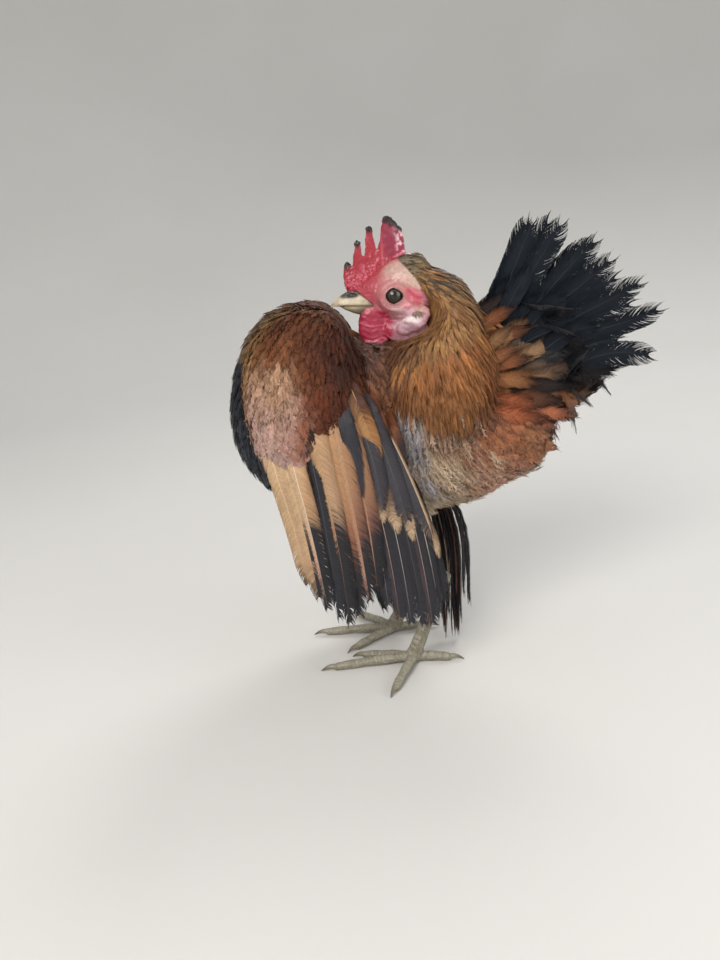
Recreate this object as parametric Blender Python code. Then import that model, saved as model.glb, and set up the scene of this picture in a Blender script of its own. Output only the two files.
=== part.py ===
"""A serama cockerel, life size, standing still with its breast thrown up, its neck drawn
back against a spread tail and its wings hanging to the ground.

The bird faces -X and its left side faces -Y. Sizes are in millimetres and angles in degrees;
MM turns a size into Blender's metres. The solids show the plumage's outer form: head, neck,
trunk, wings, tail and legs are separate pieces with a narrow clear gap between neighbours.
"""

import math

import bmesh
import bpy
from mathutils import Matrix, Vector

MM = 0.001
GAP = 0.3                    # clear space between neighbouring pieces

# Trunk, from the front of the breast to the vent
BREAST_FRONT_X = -60.0
VENT_X = 95.0
BODY_SIDES = 16              # corners round the trunk and neck

# Head: the line of the gape rises towards the tip of the beak
GAPE = Vector((13.5, 0.0, 181.6))
BEAK_TIP = Vector((-5.6, 0.0, 183.6))
EYE = Vector((23.4, 8.3, 185.4))
EYE_RADIUS = 5.0
COMB_FRONT = Vector((4.0, 0.0, 189.0))
COMB_REAR = Vector((29.5, 0.0, 200.5))
WATTLE = Vector((13.6, 7.2, 171.8))
LOBE = Vector((31.5, 13.2, 173.2))

# Tail: seven pairs of feathers fan out round one root
TAIL_ROOT = Vector((64.0, 0.0, 142.0))
TAIL_PAIRS = 7
TAIL_TOP_ANGLE = 62.0
TAIL_FEATHER_LENGTH = 89.0
TAIL_FEATHER_WIDTH = 21.0
COVERT_REACH = 41.0          # from the root to the rim of the tail coverts
COVERT_FAN = (-32.0, 66.0)   # lowest and highest angle of that rim

# Wings: the flight feathers hang from a slanting line at the lower edge of the coverts
WING_ROOT_FRONT = Vector((-42.5, 39.0, 111.0))
WING_ROOT_REAR = Vector((15.0, 43.0, 121.0))
WING_TIP_FRONT = Vector((-25.5, 33.0, 25.0))
WING_TIP_REAR = Vector((32.0, 33.5, 25.0))
PRIMARIES = 10
SECONDARIES = 8
BLADE = 0.7                  # thickness of a flight feather towards its tip, and of a tail feather
WING_SIDE_Y = 46.0           # the widest point of the folded wing
RIGHT_WING_SWING = 30.0      # how much further back the tip of the right wing hangs

# Legs
HOCK = {"left": Vector((35.0, -14.0, 43.0)), "right": Vector((31.0, 20.0, 43.0))}
FOOT = {"left": Vector((21.0, -12.0, 6.5)), "right": Vector((13.0, 23.0, 6.5))}
SHANK_RADIUS = 3.3
TOE_RADIUS = 2.7
# Each toe: number, heading from straight ahead (outwards positive), length without claw, claw
TOES = {
    "left": ((2, -17.0, 25.0, 6.5), (3, 2.0, 39.0, 7.5), (4, 64.0, 27.0, 6.5),
             (1, 172.0, 13.0, 7.0)),
    "right": ((2, -36.0, 25.0, 6.5), (3, 6.0, 36.0, 7.5), (4, 48.0, 27.0, 6.5),
              (1, 176.0, 13.0, 7.0)),
}

PLUMAGE = {
    "gold": (0.36, 0.17, 0.06, 1.0),
    "rust": (0.16, 0.06, 0.03, 1.0),
    "black": (0.02, 0.02, 0.025, 1.0),
    "buff": (0.5, 0.32, 0.18, 1.0),
    "down": (0.3, 0.23, 0.17, 1.0),
    "comb": (0.5, 0.05, 0.06, 1.0),
    "face": (0.6, 0.25, 0.25, 1.0),
    "lobe": (0.75, 0.6, 0.62, 1.0),
    "horn": (0.5, 0.42, 0.3, 1.0),
    "scale": (0.42, 0.38, 0.27, 1.0),
    "eye": (0.05, 0.03, 0.02, 1.0),
}
SHINE = {"black": 0.35, "comb": 0.45, "face": 0.5, "horn": 0.4, "eye": 0.05}


# The uncut form of each piece. Neighbours are cut with it, so that no cut follows another cut.
WHOLE_FORMS = {}


def clear_scene():
    for obj in list(bpy.data.objects):
        bpy.data.objects.remove(obj)


def material(name):
    """The plain finish of a piece, one material for each colour name."""
    found = bpy.data.materials.get(name)
    if found:
        return found
    made = bpy.data.materials.new(name)
    made.use_nodes = True
    shader = made.node_tree.nodes["Principled BSDF"]
    shader.inputs["Base Color"].default_value = PLUMAGE[name]
    shader.inputs["Roughness"].default_value = SHINE.get(name, 0.75)
    shader.inputs["Metallic"].default_value = 0.0
    return made


def add_object(name, bm, colour):
    """Links a bmesh as an object, still in millimetres, with its faces turned outwards."""
    bmesh.ops.triangulate(bm, faces=bm.faces)
    bmesh.ops.recalc_face_normals(bm, faces=bm.faces)
    mesh = bpy.data.meshes.new(name)
    bm.to_mesh(mesh)
    WHOLE_FORMS[name] = bm
    mesh.materials.append(material(colour))
    mesh.shade_smooth()
    mesh.set_sharp_from_angle(angle=math.radians(40))
    obj = bpy.data.objects.new(name, mesh)
    bpy.context.scene.collection.objects.link(obj)
    return obj


def ring_point(angle, power, pinch):
    """A point of a unit superellipse whose far side on the first axis is narrower by pinch."""
    c, s = math.cos(angle), math.sin(angle)
    across = math.copysign(abs(s) ** (2 / power), s)
    along = math.copysign(abs(c) ** (2 / power), c)
    return along, across * (1 - pinch * along)


def loft(rows, sides=BODY_SIDES, power=2.2, pinch=0.0, phase=0.0, floor=None):
    """A closed form through rings. A row is a centre and two half axes, nine numbers in all.

    phase turns the ring's corners by a share of one side. floor flattens what lies below it.
    """
    bm = bmesh.new()
    rings = []
    for row in rows:
        centre, first, second = Vector(row[0:3]), Vector(row[3:6]), Vector(row[6:9])
        ring = []
        for k in range(sides):
            along, across = ring_point(2 * math.pi * (k + phase) / sides, power, pinch)
            point = centre + first * along + second * across
            if floor is not None:
                point.z = max(point.z, floor)
            ring.append(bm.verts.new(point))
        rings.append(ring)
    for lower, upper in zip(rings, rings[1:]):
        for k in range(sides):
            n = (k + 1) % sides
            bm.faces.new((lower[k], lower[n], upper[n], upper[k]))
    for ring in (rings[0], rings[-1]):
        centre = sum((v.co for v in ring), Vector()) / sides
        pole = bm.verts.new(centre)
        for k in range(sides):
            bm.faces.new((ring[k], ring[(k + 1) % sides], pole))
    bmesh.ops.recalc_face_normals(bm, faces=bm.faces)
    return bm


def upright_row(x, middle_z, half_height, half_width):
    return (x, 0, middle_z, 0, 0, half_height, 0, half_width, 0)


def tilted_row(x, z, tilt, half_length, half_width):
    """A ring across the neck. Its long axis rises backwards by tilt."""
    turn = math.radians(tilt)
    return (x, 0, z, half_length * math.cos(turn), 0, half_length * math.sin(turn),
            0, half_width, 0)


def limb(points, radii, sides, flatness=1.0, floor=None):
    """A round limb along points. flatness below 1 makes it lower than it is wide."""
    rows = []
    for i, (point, radius) in enumerate(zip(points, radii)):
        ahead = points[min(i + 1, len(points) - 1)] - points[max(i - 1, 0)]
        side = Vector((0, 0, 1)).cross(ahead)
        if side.length < 1e-6:
            side = Vector((0, 1, 0))
        side.normalize()
        up = ahead.normalized().cross(side).normalized()
        rows.append((*point, *(up * radius * flatness), *(side * radius)))
    return loft(rows, sides=sides, power=2.0, phase=0.5, floor=floor)


def bump(value, centre, width):
    return math.exp(-((value - centre) / width) ** 2)


def inflated(name, by):
    """The whole form of a piece with each corner moved out along its normal, as a cutter."""
    bm = WHOLE_FORMS[name].copy()
    bm.normal_update()
    # A hair aside, so that no corner of two mirrored forms falls in one point
    aside = Vector((0.013, 0.007, 0.011))
    moved = [(vert, vert.co + vert.normal * by * min(2.5, vert.calc_shell_factor()) + aside)
             for vert in bm.verts]
    for vert, place in moved:
        vert.co = place
    mesh = bpy.data.meshes.new(name + "_cutter")
    bm.to_mesh(mesh)
    bm.free()
    cutter = bpy.data.objects.new(name + "_cutter", mesh)
    cutter.hide_render = True
    cutter.display_type = "WIRE"
    bpy.context.scene.collection.objects.link(cutter)
    return cutter


def carve(obj, *neighbours, gap=GAP):
    """Cuts neighbours out of an object with a clear gap round them."""
    for neighbour in neighbours:
        cutter = inflated(neighbour.name, gap)
        modifier = obj.modifiers.new("clearance", "BOOLEAN")
        modifier.operation = "DIFFERENCE"
        modifier.solver = "EXACT"
        modifier.object = cutter
        bpy.context.view_layer.update()
        graph = bpy.context.evaluated_depsgraph_get()
        made = bpy.data.meshes.new_from_object(obj.evaluated_get(graph))
        obj.modifiers.clear()
        obj.data = made
        bpy.data.objects.remove(cutter)


def keep_largest_body(obj):
    """Drops the crumbs that a cut may leave beside the piece."""
    bm = bmesh.new()
    bm.from_mesh(obj.data)
    bmesh.ops.remove_doubles(bm, verts=bm.verts, dist=0.0005)
    unseen = set(bm.verts)
    groups = []
    while unseen:
        group, edge_of_group = set(), [unseen.pop()]
        while edge_of_group:
            vert = edge_of_group.pop()
            group.add(vert)
            for edge in vert.link_edges:
                other = edge.other_vert(vert)
                if other in unseen:
                    unseen.discard(other)
                    edge_of_group.append(other)
        groups.append(group)
    groups.sort(key=len)
    for group in groups[:-1]:
        bmesh.ops.delete(bm, geom=list(group), context="VERTS")
    bm.to_mesh(obj.data)
    bm.free()


def half_of(bm, point, normal):
    """The part of a closed form behind a plane, with the cut closed. The form itself is kept."""
    part = bm.copy()
    normal = Vector(normal).normalized()
    found = bmesh.ops.bisect_plane(
        part, geom=part.verts[:] + part.edges[:] + part.faces[:],
        plane_co=Vector(point) - normal * GAP / 2, plane_no=normal, clear_outer=True, dist=0.01)
    rim = [e for e in found["geom_cut"] if isinstance(e, bmesh.types.BMEdge)]
    bmesh.ops.edgeloop_fill(part, edges=rim)
    bmesh.ops.triangulate(part, faces=[f for f in part.faces if len(f.verts) > 4])
    return part


def split(bm, point, normal):
    """Both sides of a closed form at a plane, each half a gap away from it."""
    return half_of(bm, point, normal), half_of(bm, point, -Vector(normal))


def trunk_form():
    rows = (
        (BREAST_FRONT_X, 132, 5, 5), (-58.5, 132.5, 15, 11), (-55, 134, 25, 18.5),
        (-48, 136, 37, 26), (-37, 137, 47, 32), (-22, 133.5, 54, 36.5), (-5, 125.5, 53.5, 38.5),
        (15, 119.5, 47.5, 38), (38, 115, 42, 35), (58, 112, 37, 29.5), (74, 112.5, 29.5, 21),
        (86, 113.5, 21.5, 13), (92.5, 114, 12.5, 7.5), (VENT_X, 114.5, 4, 3),
    )
    return loft([upright_row(*row) for row in rows], pinch=0.06)


def neck_form():
    """The neck and the cape of hackle feathers that hangs from it."""
    rows = (
        (25, 189.5, 62, 12, 9.5), (31, 184, 52, 18, 15), (36.2, 174.5, 37, 25, 22),
        (38, 163, 25, 29.0, 28.5), (38.5, 149, 16, 31.5, 35), (38, 136, 11, 32.5, 39.5),
        (38, 126, 9, 30, 41), (38.5, 119, 8, 22, 36), (39, 115.5, 8, 8, 16),
    )
    return loft([tilted_row(*row) for row in rows], power=2.7, pinch=0.03)


def head_form():
    rows = (
        (41, 187.5, 9, 7), (36.5, 187.8, 14.6, 12.2), (30, 187.3, 15.8, 13.4),
        (24, 186.6, 15.0, 12.8), (18, 185.4, 12.4, 10.6), (12, 184.6, 9.4, 7.9),
        (7.5, 184.4, 7.4, 6.0), (4.5, 184.6, 5.0, 4.2),
    )
    return loft([upright_row(*row) for row in rows], sides=12, power=2.3, pinch=0.12)


def eye_form(side):
    bm = bmesh.new()
    bmesh.ops.create_uvsphere(bm, u_segments=10, v_segments=6, radius=EYE_RADIUS)
    bmesh.ops.rotate(bm, verts=bm.verts, matrix=Matrix.Rotation(math.radians(90), 3, "X"))
    bmesh.ops.translate(bm, verts=bm.verts, vec=Vector((EYE.x, EYE.y * side, EYE.z)))
    return bm


def beak_form(upper):
    """Half a bill, from inside the face to its tip. The upper half is longer and hooked."""
    along = BEAK_TIP - GAPE
    depth, width, reach, inside = (8.4, 4.7, 1.0, -0.1) if upper else (4.2, 4.2, 0.86, -0.22)
    stations = ((inside, 1.0), (0.25, 0.93), (0.55, 0.74), (0.8, 0.46), (0.95, 0.2), (1.0, 0.06))
    sign = 1 if upper else -1
    rows = []
    for t, share in stations:
        gape = GAPE + along * t * reach
        half_depth = 0.5 * depth * share
        droop = -1.5 * max(0.0, t - 0.5) if upper else 0.8 * t
        middle = gape + Vector((0, 0, sign * (half_depth + 0.2) + droop))
        rows.append((*middle, 0, 0, half_depth, 0, width * share, 0))
    return loft(rows, sides=10, power=2.0, pinch=0.2 if upper else -0.2)


def comb_form():
    """A single comb: an upright blade with five points, the last one broad and leaning back."""
    # Each point: place along the base, height, half width, lean of the tip backwards
    points = ((0.07, 11.5, 2.2, -2.5), (0.27, 19.0, 2.3, -1.5), (0.47, 23.0, 2.4, 0.0),
              (0.7, 24.0, 2.7, 2.0), (0.93, 18.0, 3.6, 3.0))
    valley_share = 0.55
    base = COMB_REAR - COMB_FRONT
    outline = [COMB_REAR + Vector((0.5, 0, -4.0)), COMB_FRONT + Vector((0.5, 0, -4.0))]
    for share, height, half, lean in points:
        foot = COMB_FRONT + base * share
        shoulder = height * valley_share
        outline.append(foot + Vector((-half, 0, shoulder)))
        outline.append(foot + Vector((lean - 0.9, 0, height - 1.0)))
        outline.append(foot + Vector((lean + 0.5, 0, height)))
        outline.append(foot + Vector((half, 0, shoulder + 0.6)))
    bm = bmesh.new()
    half_thick = 1.5
    face = bm.faces.new([bm.verts.new(p - Vector((0, half_thick, 0))) for p in outline])
    raised = bmesh.ops.extrude_face_region(bm, geom=[face])
    top = [v for v in raised["geom"] if isinstance(v, bmesh.types.BMVert)]
    bmesh.ops.translate(bm, verts=top, vec=Vector((0, 2 * half_thick, 0)))
    bmesh.ops.recalc_face_normals(bm, faces=bm.faces)
    crest = [e for e in bm.edges if abs(e.verts[0].co.y - e.verts[1].co.y) < 0.01
             and min(v.co.z for v in e.verts) > COMB_REAR.z - 9]
    bmesh.ops.bevel(bm, geom=crest, offset=0.8, segments=1, affect="EDGES")
    bmesh.ops.triangulate(bm, faces=[f for f in bm.faces if len(f.verts) > 4])
    return bm


def wattle_form(side):
    """A rounded flap under the gape, thicker at its lower rim."""
    rows = []
    for drop, half_length, half_thick in ((9.2, 3.2, 1.3), (6.5, 5.8, 1.9), (2, 7.2, 2.3),
                                          (-3, 7.4, 2.7), (-6.6, 6.0, 2.7), (-8.4, 2.8, 1.5)):
        rows.append((WATTLE.x, WATTLE.y * side, WATTLE.z + drop,
                     half_length, 0, 0, 0, half_thick, 0))
    return loft(rows, sides=10, power=2.4)


def lobe_form(side):
    """The ear lobe, an oval pad behind and below the eye."""
    tilt = math.radians(22)
    rows = []
    for place, half_depth, half_thick in ((-8.6, 1.2, 0.9), (-6, 4.0, 2.2), (0, 5.6, 3.1),
                                          (5.5, 4.8, 2.5), (8.6, 1.4, 0.9)):
        centre = Vector((LOBE.x + place * math.cos(tilt), LOBE.y * side,
                         LOBE.z + place * math.sin(tilt)))
        rows.append((*centre, 0, 0, half_depth, 0, half_thick, 0))
    return loft(rows, sides=10, power=2.2)


def wing_pad_form(side):
    """The shoulder and coverts of the folded wing, before the trunk is cut out of its inside."""
    rows = []
    # Height, front edge, rear edge, outer surface
    for z, front, rear, outer in ((185.5, -24, -10, 31), (183, -33, -3, 36), (176, -42, 3, 40.5),
                                  (164, -48, 7, 44), (148, -50.5, 9.5, WING_SIDE_Y),
                                  (131, -49, 13, WING_SIDE_Y), (116, -45, 17, 45),
                                  (108, -43, 17, 44)):
        half_thick = 0.5 * (outer - 8)
        rows.append(((front + rear) / 2, side * (outer - half_thick), z,
                     (rear - front) / 2, 0, 0, 0, side * half_thick, 0))
    return loft(rows, sides=14, power=2.6)


def blade_form(root, tip, facing, width, cup, bend, teeth, root_share=0.75):
    """One stiff feather as a thin plate.

    cup lowers both edges, bend bows the plate in its own plane and teeth lengthens every second
    corner of the tip.
    """
    across_steps, along_steps = 2, 4
    along = tip - root
    side = facing.cross(along).normalized()
    facing = along.cross(side).normalized()
    bm = bmesh.new()
    layers = ([], [])
    for i in range(along_steps + 1):
        t = i / along_steps
        swell = math.sin(math.pi * (root_share * 0.5 + (1 - root_share * 0.5) * t)) ** 0.5
        end = 0.62 if i == along_steps else 1.0
        half = 0.5 * width * max(0.28, swell) * end if i else 0.5 * width * root_share
        for layer, sign in zip(layers, (-1, 1)):
            row = []
            for k in range(across_steps + 1):
                u = 2 * k / across_steps - 1
                lift = -cup * (0.4 + 0.8 * t) * u * u
                point = root + along * t + side * (half * u + bend * math.sin(math.pi * t))
                point += facing * (lift + sign * 0.5 * BLADE * (1.1 if abs(u) < 0.3 else 0.9))
                if i == along_steps:
                    point += along.normalized() * (teeth * (1 if k % 2 else -1) - 2.0 * abs(u))
                row.append(bm.verts.new(point))
            layer.append(row)
    for layer in layers:
        for i in range(along_steps):
            for k in range(across_steps):
                bm.faces.new((layer[i][k], layer[i][k + 1], layer[i + 1][k + 1], layer[i + 1][k]))
    under, over = layers
    for i in range(along_steps):
        for k in (0, across_steps):
            bm.faces.new((under[i][k], under[i + 1][k], over[i + 1][k], over[i][k]))
    for k in range(across_steps):
        for i in (0, along_steps):
            bm.faces.new((under[i][k], under[i][k + 1], over[i][k + 1], over[i][k]))
    bmesh.ops.recalc_face_normals(bm, faces=bm.faces)
    return bm


def mirrored(vector, side):
    return Vector((vector.x, vector.y * side, vector.z))


def tail_feather_form(pair, side):
    """Pair 0 stands up in the middle of the tail; later pairs lie lower and further out."""
    share = pair / (TAIL_PAIRS - 1)
    angle = math.radians(TAIL_TOP_ANGLE - 15.5 * pair + 0.65 * pair * pair - (3 if side > 0 else 0))
    length = TAIL_FEATHER_LENGTH * (0.92 + 0.3 * share - 0.52 * share * share)
    direction = Vector((math.cos(angle), 0, math.sin(angle)))
    root = TAIL_ROOT + direction * (COVERT_REACH - 9) + Vector((0, side * (1.7 + 1.65 * pair), 0))
    tip = TAIL_ROOT + direction * length + Vector((0, side * (2.4 + 3.2 * pair), 0))
    return blade_form(root, tip, Vector((0, side, 0)),
                      TAIL_FEATHER_WIDTH * (1 - 0.25 * share), cup=0.75, bend=-side * 1.6, teeth=1.6)


def tail_base_form():
    """The brown coverts round the foot of the tail, a flat fan with a rounded rim."""
    bm = bmesh.new()
    steps = 12
    low, high = (math.radians(angle) for angle in COVERT_FAN)
    centre = TAIL_ROOT + Vector((-14, 0, -1))
    rings = []
    # Distance from the tail's root and half the thickness there
    for reach, half_thick in ((-6, 9), (10, 12.5), (24, 13.5), (34, 12.5),
                              (COVERT_REACH - 1.5, 11.4), (COVERT_REACH, 10.6)):
        ring = []
        for sign in (-1, 1):
            order = range(steps + 1) if sign < 0 else range(steps, -1, -1)
            for k in order:
                share = k / steps
                angle = low + (high - low) * share
                rounding = math.sqrt(max(0.0, 1 - (2 * share - 1) ** 4)) * 0.9 + 0.1
                out = Vector((math.cos(angle), 0, math.sin(angle))) * (14 + reach)
                ring.append(bm.verts.new(centre + out + Vector((0, sign * half_thick * rounding, 0))))
        rings.append(ring)
    count = len(rings[0])
    for inner, outer in zip(rings, rings[1:]):
        for k in range(count):
            n = (k + 1) % count
            bm.faces.new((inner[k], inner[n], outer[n], outer[k]))
    for ring in (rings[0], rings[-1]):
        for k in range(steps):
            bm.faces.new((ring[k], ring[k + 1], ring[count - 2 - k], ring[count - 1 - k]))
    bmesh.ops.recalc_face_normals(bm, faces=bm.faces)
    return bm


def flight_line(t, side):
    """Root and tip of the flight feather at t, 0 at the front edge and 1 at the rear edge."""
    root = WING_ROOT_FRONT.lerp(WING_ROOT_REAR, t)
    tip = WING_TIP_FRONT.lerp(WING_TIP_REAR, t)
    tip.z += 11 * bump(t, 0, 0.07) + 12 * bump(t, 0.5, 0.08) + 18 * bump(t, 1, 0.07)
    if side > 0:
        tip += Vector((RIGHT_WING_SWING * (0.4 + 0.6 * t), -9 * t ** 3, -17))
        tip.z = max(tip.z, 3.0)
    return mirrored(root, side), mirrored(tip, side)


def flight_feathers(first, count, side):
    """A run of flight feathers as one overlapping sheet, open between the feathers' tips.

    Every feather is two strips wide. Its front edge lies over the rear edge of the one ahead.
    """
    total = PRIMARIES + SECONDARIES - 1
    rows = 2
    # Place across one feather, height above the sheet's middle, share of the feather's length
    profile = ((-0.5, 1.1, 0.92), (-0.08, 0.4, 1.0), (0.42, -0.75, 0.92))
    columns = []
    for i in range(first, first + count):
        for place, height, reach in profile:
            t = (i + place) / total
            root, tip = flight_line(t, side)
            middle_root, middle_tip = flight_line(i / total, side)
            tip = tip.lerp(middle_tip, 0.25)
            line = []
            for j in range(rows + 1):
                u = j / rows
                point = root.lerp(tip, u * reach)
                sag = math.sin(math.pi * min(1.0, u * 1.15)) * 2.0
                point.y += side * (sag + height * min(1.0, 0.25 + 2 * u))
                point.x += 3.0 * math.sin(math.pi * u)
                line.append(point)
            columns.append(line)
    bm = bmesh.new()
    layers = []
    for sign in (-1, 1):
        layer = []
        for line in columns:
            strip = []
            for j, point in enumerate(line):
                half = 0.5 * (BLADE + 2.2 * (1 - j / rows) ** 3)
                strip.append(bm.verts.new(point + Vector((0, side * sign * half, 0))))
            layer.append(strip)
        layers.append(layer)
    width = len(columns)
    for layer in layers:
        for k in range(width - 1):
            for j in range(rows):
                bm.faces.new((layer[k][j], layer[k + 1][j], layer[k + 1][j + 1], layer[k][j + 1]))
    under, over = layers
    for k in range(width - 1):
        for j in (0, rows):
            bm.faces.new((under[k][j], under[k + 1][j], over[k + 1][j], over[k][j]))
    for k in (0, width - 1):
        for j in range(rows):
            bm.faces.new((under[k][j], under[k][j + 1], over[k][j + 1], over[k][j]))
    bmesh.ops.recalc_face_normals(bm, faces=bm.faces)
    return bm


def leg_forms(label, side):
    """Thigh and shank. The shank's foot end is a low pad between the toes."""
    hock, foot = HOCK[label], FOOT[label]
    groin = Vector((6, 20 * side, 92))
    thigh_points = [groin] + [groin.lerp(hock, t) + Vector((-7 * t * (1 - t), 0, 0))
                              for t in (0.3, 0.6, 0.85, 1.0)]
    thigh = limb(thigh_points, (11, 15.5, 12, 7.0, 4.6), 12)
    shank_points = [hock + Vector((0.6, 0, -1.5)), hock.lerp(foot, 0.2), hock.lerp(foot, 0.6),
                    foot + Vector((0.8, 0, 2)), foot + Vector((-1.4, 0, -2.6))]
    shank = limb(shank_points, (4.0, SHANK_RADIUS, SHANK_RADIUS * 0.95, 4.0, 3.0), 10, floor=0.0)
    return thigh, shank


def toe_forms(foot, heading, length, claw, side):
    """A toe with raised joints and a flat sole, and the curved claw at its end."""
    turn = math.radians(heading)
    ahead = Vector((-math.cos(turn), math.sin(turn) * side, 0))
    start = foot + ahead * 4.4
    start.z = 2.0
    points, radii = [], []
    knuckles = 2 if length > 15 else 1
    steps = 2 * knuckles
    for i in range(steps + 1):
        t = i / steps
        points.append(start + ahead * length * t + Vector((0, 0, -0.45 * t)))
        radii.append(TOE_RADIUS * (1 - 0.32 * t) * (1.08 if i % 2 == 0 else 0.92))
    toe = limb(points, radii, 6, flatness=0.95, floor=0.0)
    tip = points[-1]
    claw_points, claw_radii = [], []
    for i in range(4):
        t = i / 3
        drop = Vector((0, 0, 0.9 * math.sin(math.pi * t) - 1.05 * t * t))
        claw_points.append(tip + ahead * (claw * t - 0.8) + drop)
        claw_radii.append(1.5 * (1 - 0.82 * t))
    nail = limb(claw_points, claw_radii, 6, floor=0.0)
    return toe, nail


def build_head():
    head = add_object("head", head_form(), "face")
    beak_upper = add_object("beak_upper", beak_form(True), "horn")
    beak_lower = add_object("beak_lower", beak_form(False), "horn")
    comb = add_object("comb", comb_form(), "comb")
    eyes = [add_object(f"eye_{label}", eye_form(side), "eye") for label, side in SIDES]
    carve(beak_lower, beak_upper)
    carve(head, beak_upper, beak_lower, comb, *eyes)
    carve(comb, beak_upper)
    lobes = [add_object(f"ear_lobe_{label}", lobe_form(side), "lobe") for label, side in SIDES]
    wattles = [add_object(f"wattle_{label}", wattle_form(side), "comb") for label, side in SIDES]
    for piece in lobes:
        carve(piece, head, *eyes)
    for piece in wattles:
        carve(piece, head, beak_lower, *lobes)
    return [head, beak_upper, beak_lower, comb, *eyes, *lobes, *wattles]


def build_body(head_pieces):
    """Neck, hackle cape and the four pieces of the trunk, each clear of what lies over it."""
    neck_bm, cape_bm = split(neck_form(), (38, 0, 161), (0.42, 0, -1))
    neck = add_object("neck", neck_bm, "gold")
    cape = add_object("hackle_cape", cape_bm, "gold")
    carve(neck, *head_pieces)
    tail_base = tail_base_form()
    coverts_bm, under_bm = split(tail_base, (TAIL_ROOT.x, 0, 134), (-0.18, 0, -1))
    tail_coverts = add_object("tail_coverts", coverts_bm, "rust")
    undertail = add_object("undertail_coverts", under_bm, "down")

    front, rear = split(trunk_form(), (-20, 0, 130), (1, 0, -0.35))
    upper, lower = split(rear, (20, 0, 112), (-0.2, 0, -1))
    breast = add_object("breast", front, "black")
    back = add_object("back", upper, "rust")
    belly = add_object("belly", lower, "down")
    for piece in (breast, back):
        carve(piece, neck, cape, *head_pieces[1:3], *head_pieces[-2:])
    for piece in (tail_coverts, undertail):
        carve(piece, neck, cape)
    carve(belly, cape)
    for piece in (back, belly):
        carve(piece, tail_coverts, undertail)
    for piece in (neck, cape, breast, back, belly, tail_coverts, undertail):
        keep_largest_body(piece)
    return neck, cape, breast, back, belly, tail_coverts, undertail


def build_wing(label, side, body_pieces):
    neck, cape, breast, back, belly, *_ = body_pieces
    slope = WING_ROOT_REAR - WING_ROOT_FRONT
    hem_normal = Vector((slope.z, 0, -slope.x))
    hem = mirrored(WING_ROOT_FRONT, side) + Vector((0, 0, 0.4))
    pad, _ = split(wing_pad_form(side), hem, hem_normal)
    shoulder_bm, coverts_bm = split(pad, (-15, 0, 143), (-0.1, 0, -1))
    shoulder = add_object(f"wing_{label}_shoulder", shoulder_bm, "rust")
    coverts = add_object(f"wing_{label}_coverts", coverts_bm, "buff")
    for piece in (shoulder, coverts):
        carve(piece, neck, cape, breast, back, belly)
        keep_largest_body(piece)
    primaries = add_object(f"wing_{label}_primaries", flight_feathers(0, PRIMARIES, side), "buff")
    secondaries = add_object(f"wing_{label}_secondaries",
                             flight_feathers(PRIMARIES, SECONDARIES, side), "black")
    return shoulder, coverts, primaries, secondaries


def build_tail(tail_coverts, undertail):
    for label, side in SIDES:
        for pair in range(TAIL_PAIRS):
            feather = add_object(f"tail_feather_{label}_{pair + 1}", tail_feather_form(pair, side),
                                 "black")
            carve(feather, tail_coverts, undertail)
            keep_largest_body(feather)


def build_leg(label, side, belly):
    thigh_bm, shank_bm = leg_forms(label, side)
    thigh = add_object(f"thigh_{label}", thigh_bm, "down")
    shank = add_object(f"shank_{label}", shank_bm, "scale")
    carve(thigh, belly, shank)
    keep_largest_body(thigh)
    cut = [shank]
    for number, heading, length, claw in TOES[label]:
        toe_bm, nail_bm = toe_forms(FOOT[label], heading, length, claw, side)
        toe = add_object(f"toe_{label}_{number}", toe_bm, "scale")
        nail = add_object(f"claw_{label}_{number}", nail_bm, "horn")
        carve(toe, *cut, nail)
        keep_largest_body(toe)
        cut.append(toe)


def centre_on_floor():
    """Puts the origin on the floor under the middle of the bird's box and turns it to metres."""
    solids = [o for o in bpy.context.scene.objects if not o.hide_render]
    corners = [o.matrix_world @ Vector(c) for o in solids for c in o.bound_box]
    low = Vector([min(c[i] for c in corners) for i in range(3)])
    high = Vector([max(c[i] for c in corners) for i in range(3)])
    shift = Vector((-(low.x + high.x) / 2, -(low.y + high.y) / 2, -low.z))
    for obj in solids:
        obj.data.transform(Matrix.Scale(MM, 4) @ Matrix.Translation(shift))


SIDES = (("left", -1), ("right", 1))


def main():
    clear_scene()
    head_pieces = build_head()
    body_pieces = build_body(head_pieces)
    belly = body_pieces[4]
    for label, side in SIDES:
        build_wing(label, side, body_pieces)
        build_leg(label, side, belly)
    build_tail(*body_pieces[-2:])
    bpy.context.view_layer.update()
    centre_on_floor()


main()
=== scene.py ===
import itertools
import math
import time

import bmesh
import bpy
import numpy as np
from mathutils import Matrix, Vector
from mathutils.bvhtree import BVHTree
from mathutils.kdtree import KDTree


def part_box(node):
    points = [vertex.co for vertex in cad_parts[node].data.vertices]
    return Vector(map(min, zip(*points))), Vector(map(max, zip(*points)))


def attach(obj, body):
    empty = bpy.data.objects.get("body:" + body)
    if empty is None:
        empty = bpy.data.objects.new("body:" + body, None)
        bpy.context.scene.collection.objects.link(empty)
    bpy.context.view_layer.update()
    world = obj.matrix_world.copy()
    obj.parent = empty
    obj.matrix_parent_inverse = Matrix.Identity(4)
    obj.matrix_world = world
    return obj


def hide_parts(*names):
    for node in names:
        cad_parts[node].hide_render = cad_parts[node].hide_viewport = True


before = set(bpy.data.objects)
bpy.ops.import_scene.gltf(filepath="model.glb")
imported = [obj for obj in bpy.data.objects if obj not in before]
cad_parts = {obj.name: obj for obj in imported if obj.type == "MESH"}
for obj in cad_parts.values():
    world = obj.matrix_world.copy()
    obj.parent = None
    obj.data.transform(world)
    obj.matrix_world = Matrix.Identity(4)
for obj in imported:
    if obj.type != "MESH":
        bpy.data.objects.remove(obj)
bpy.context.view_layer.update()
startedAt = time.time()

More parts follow.
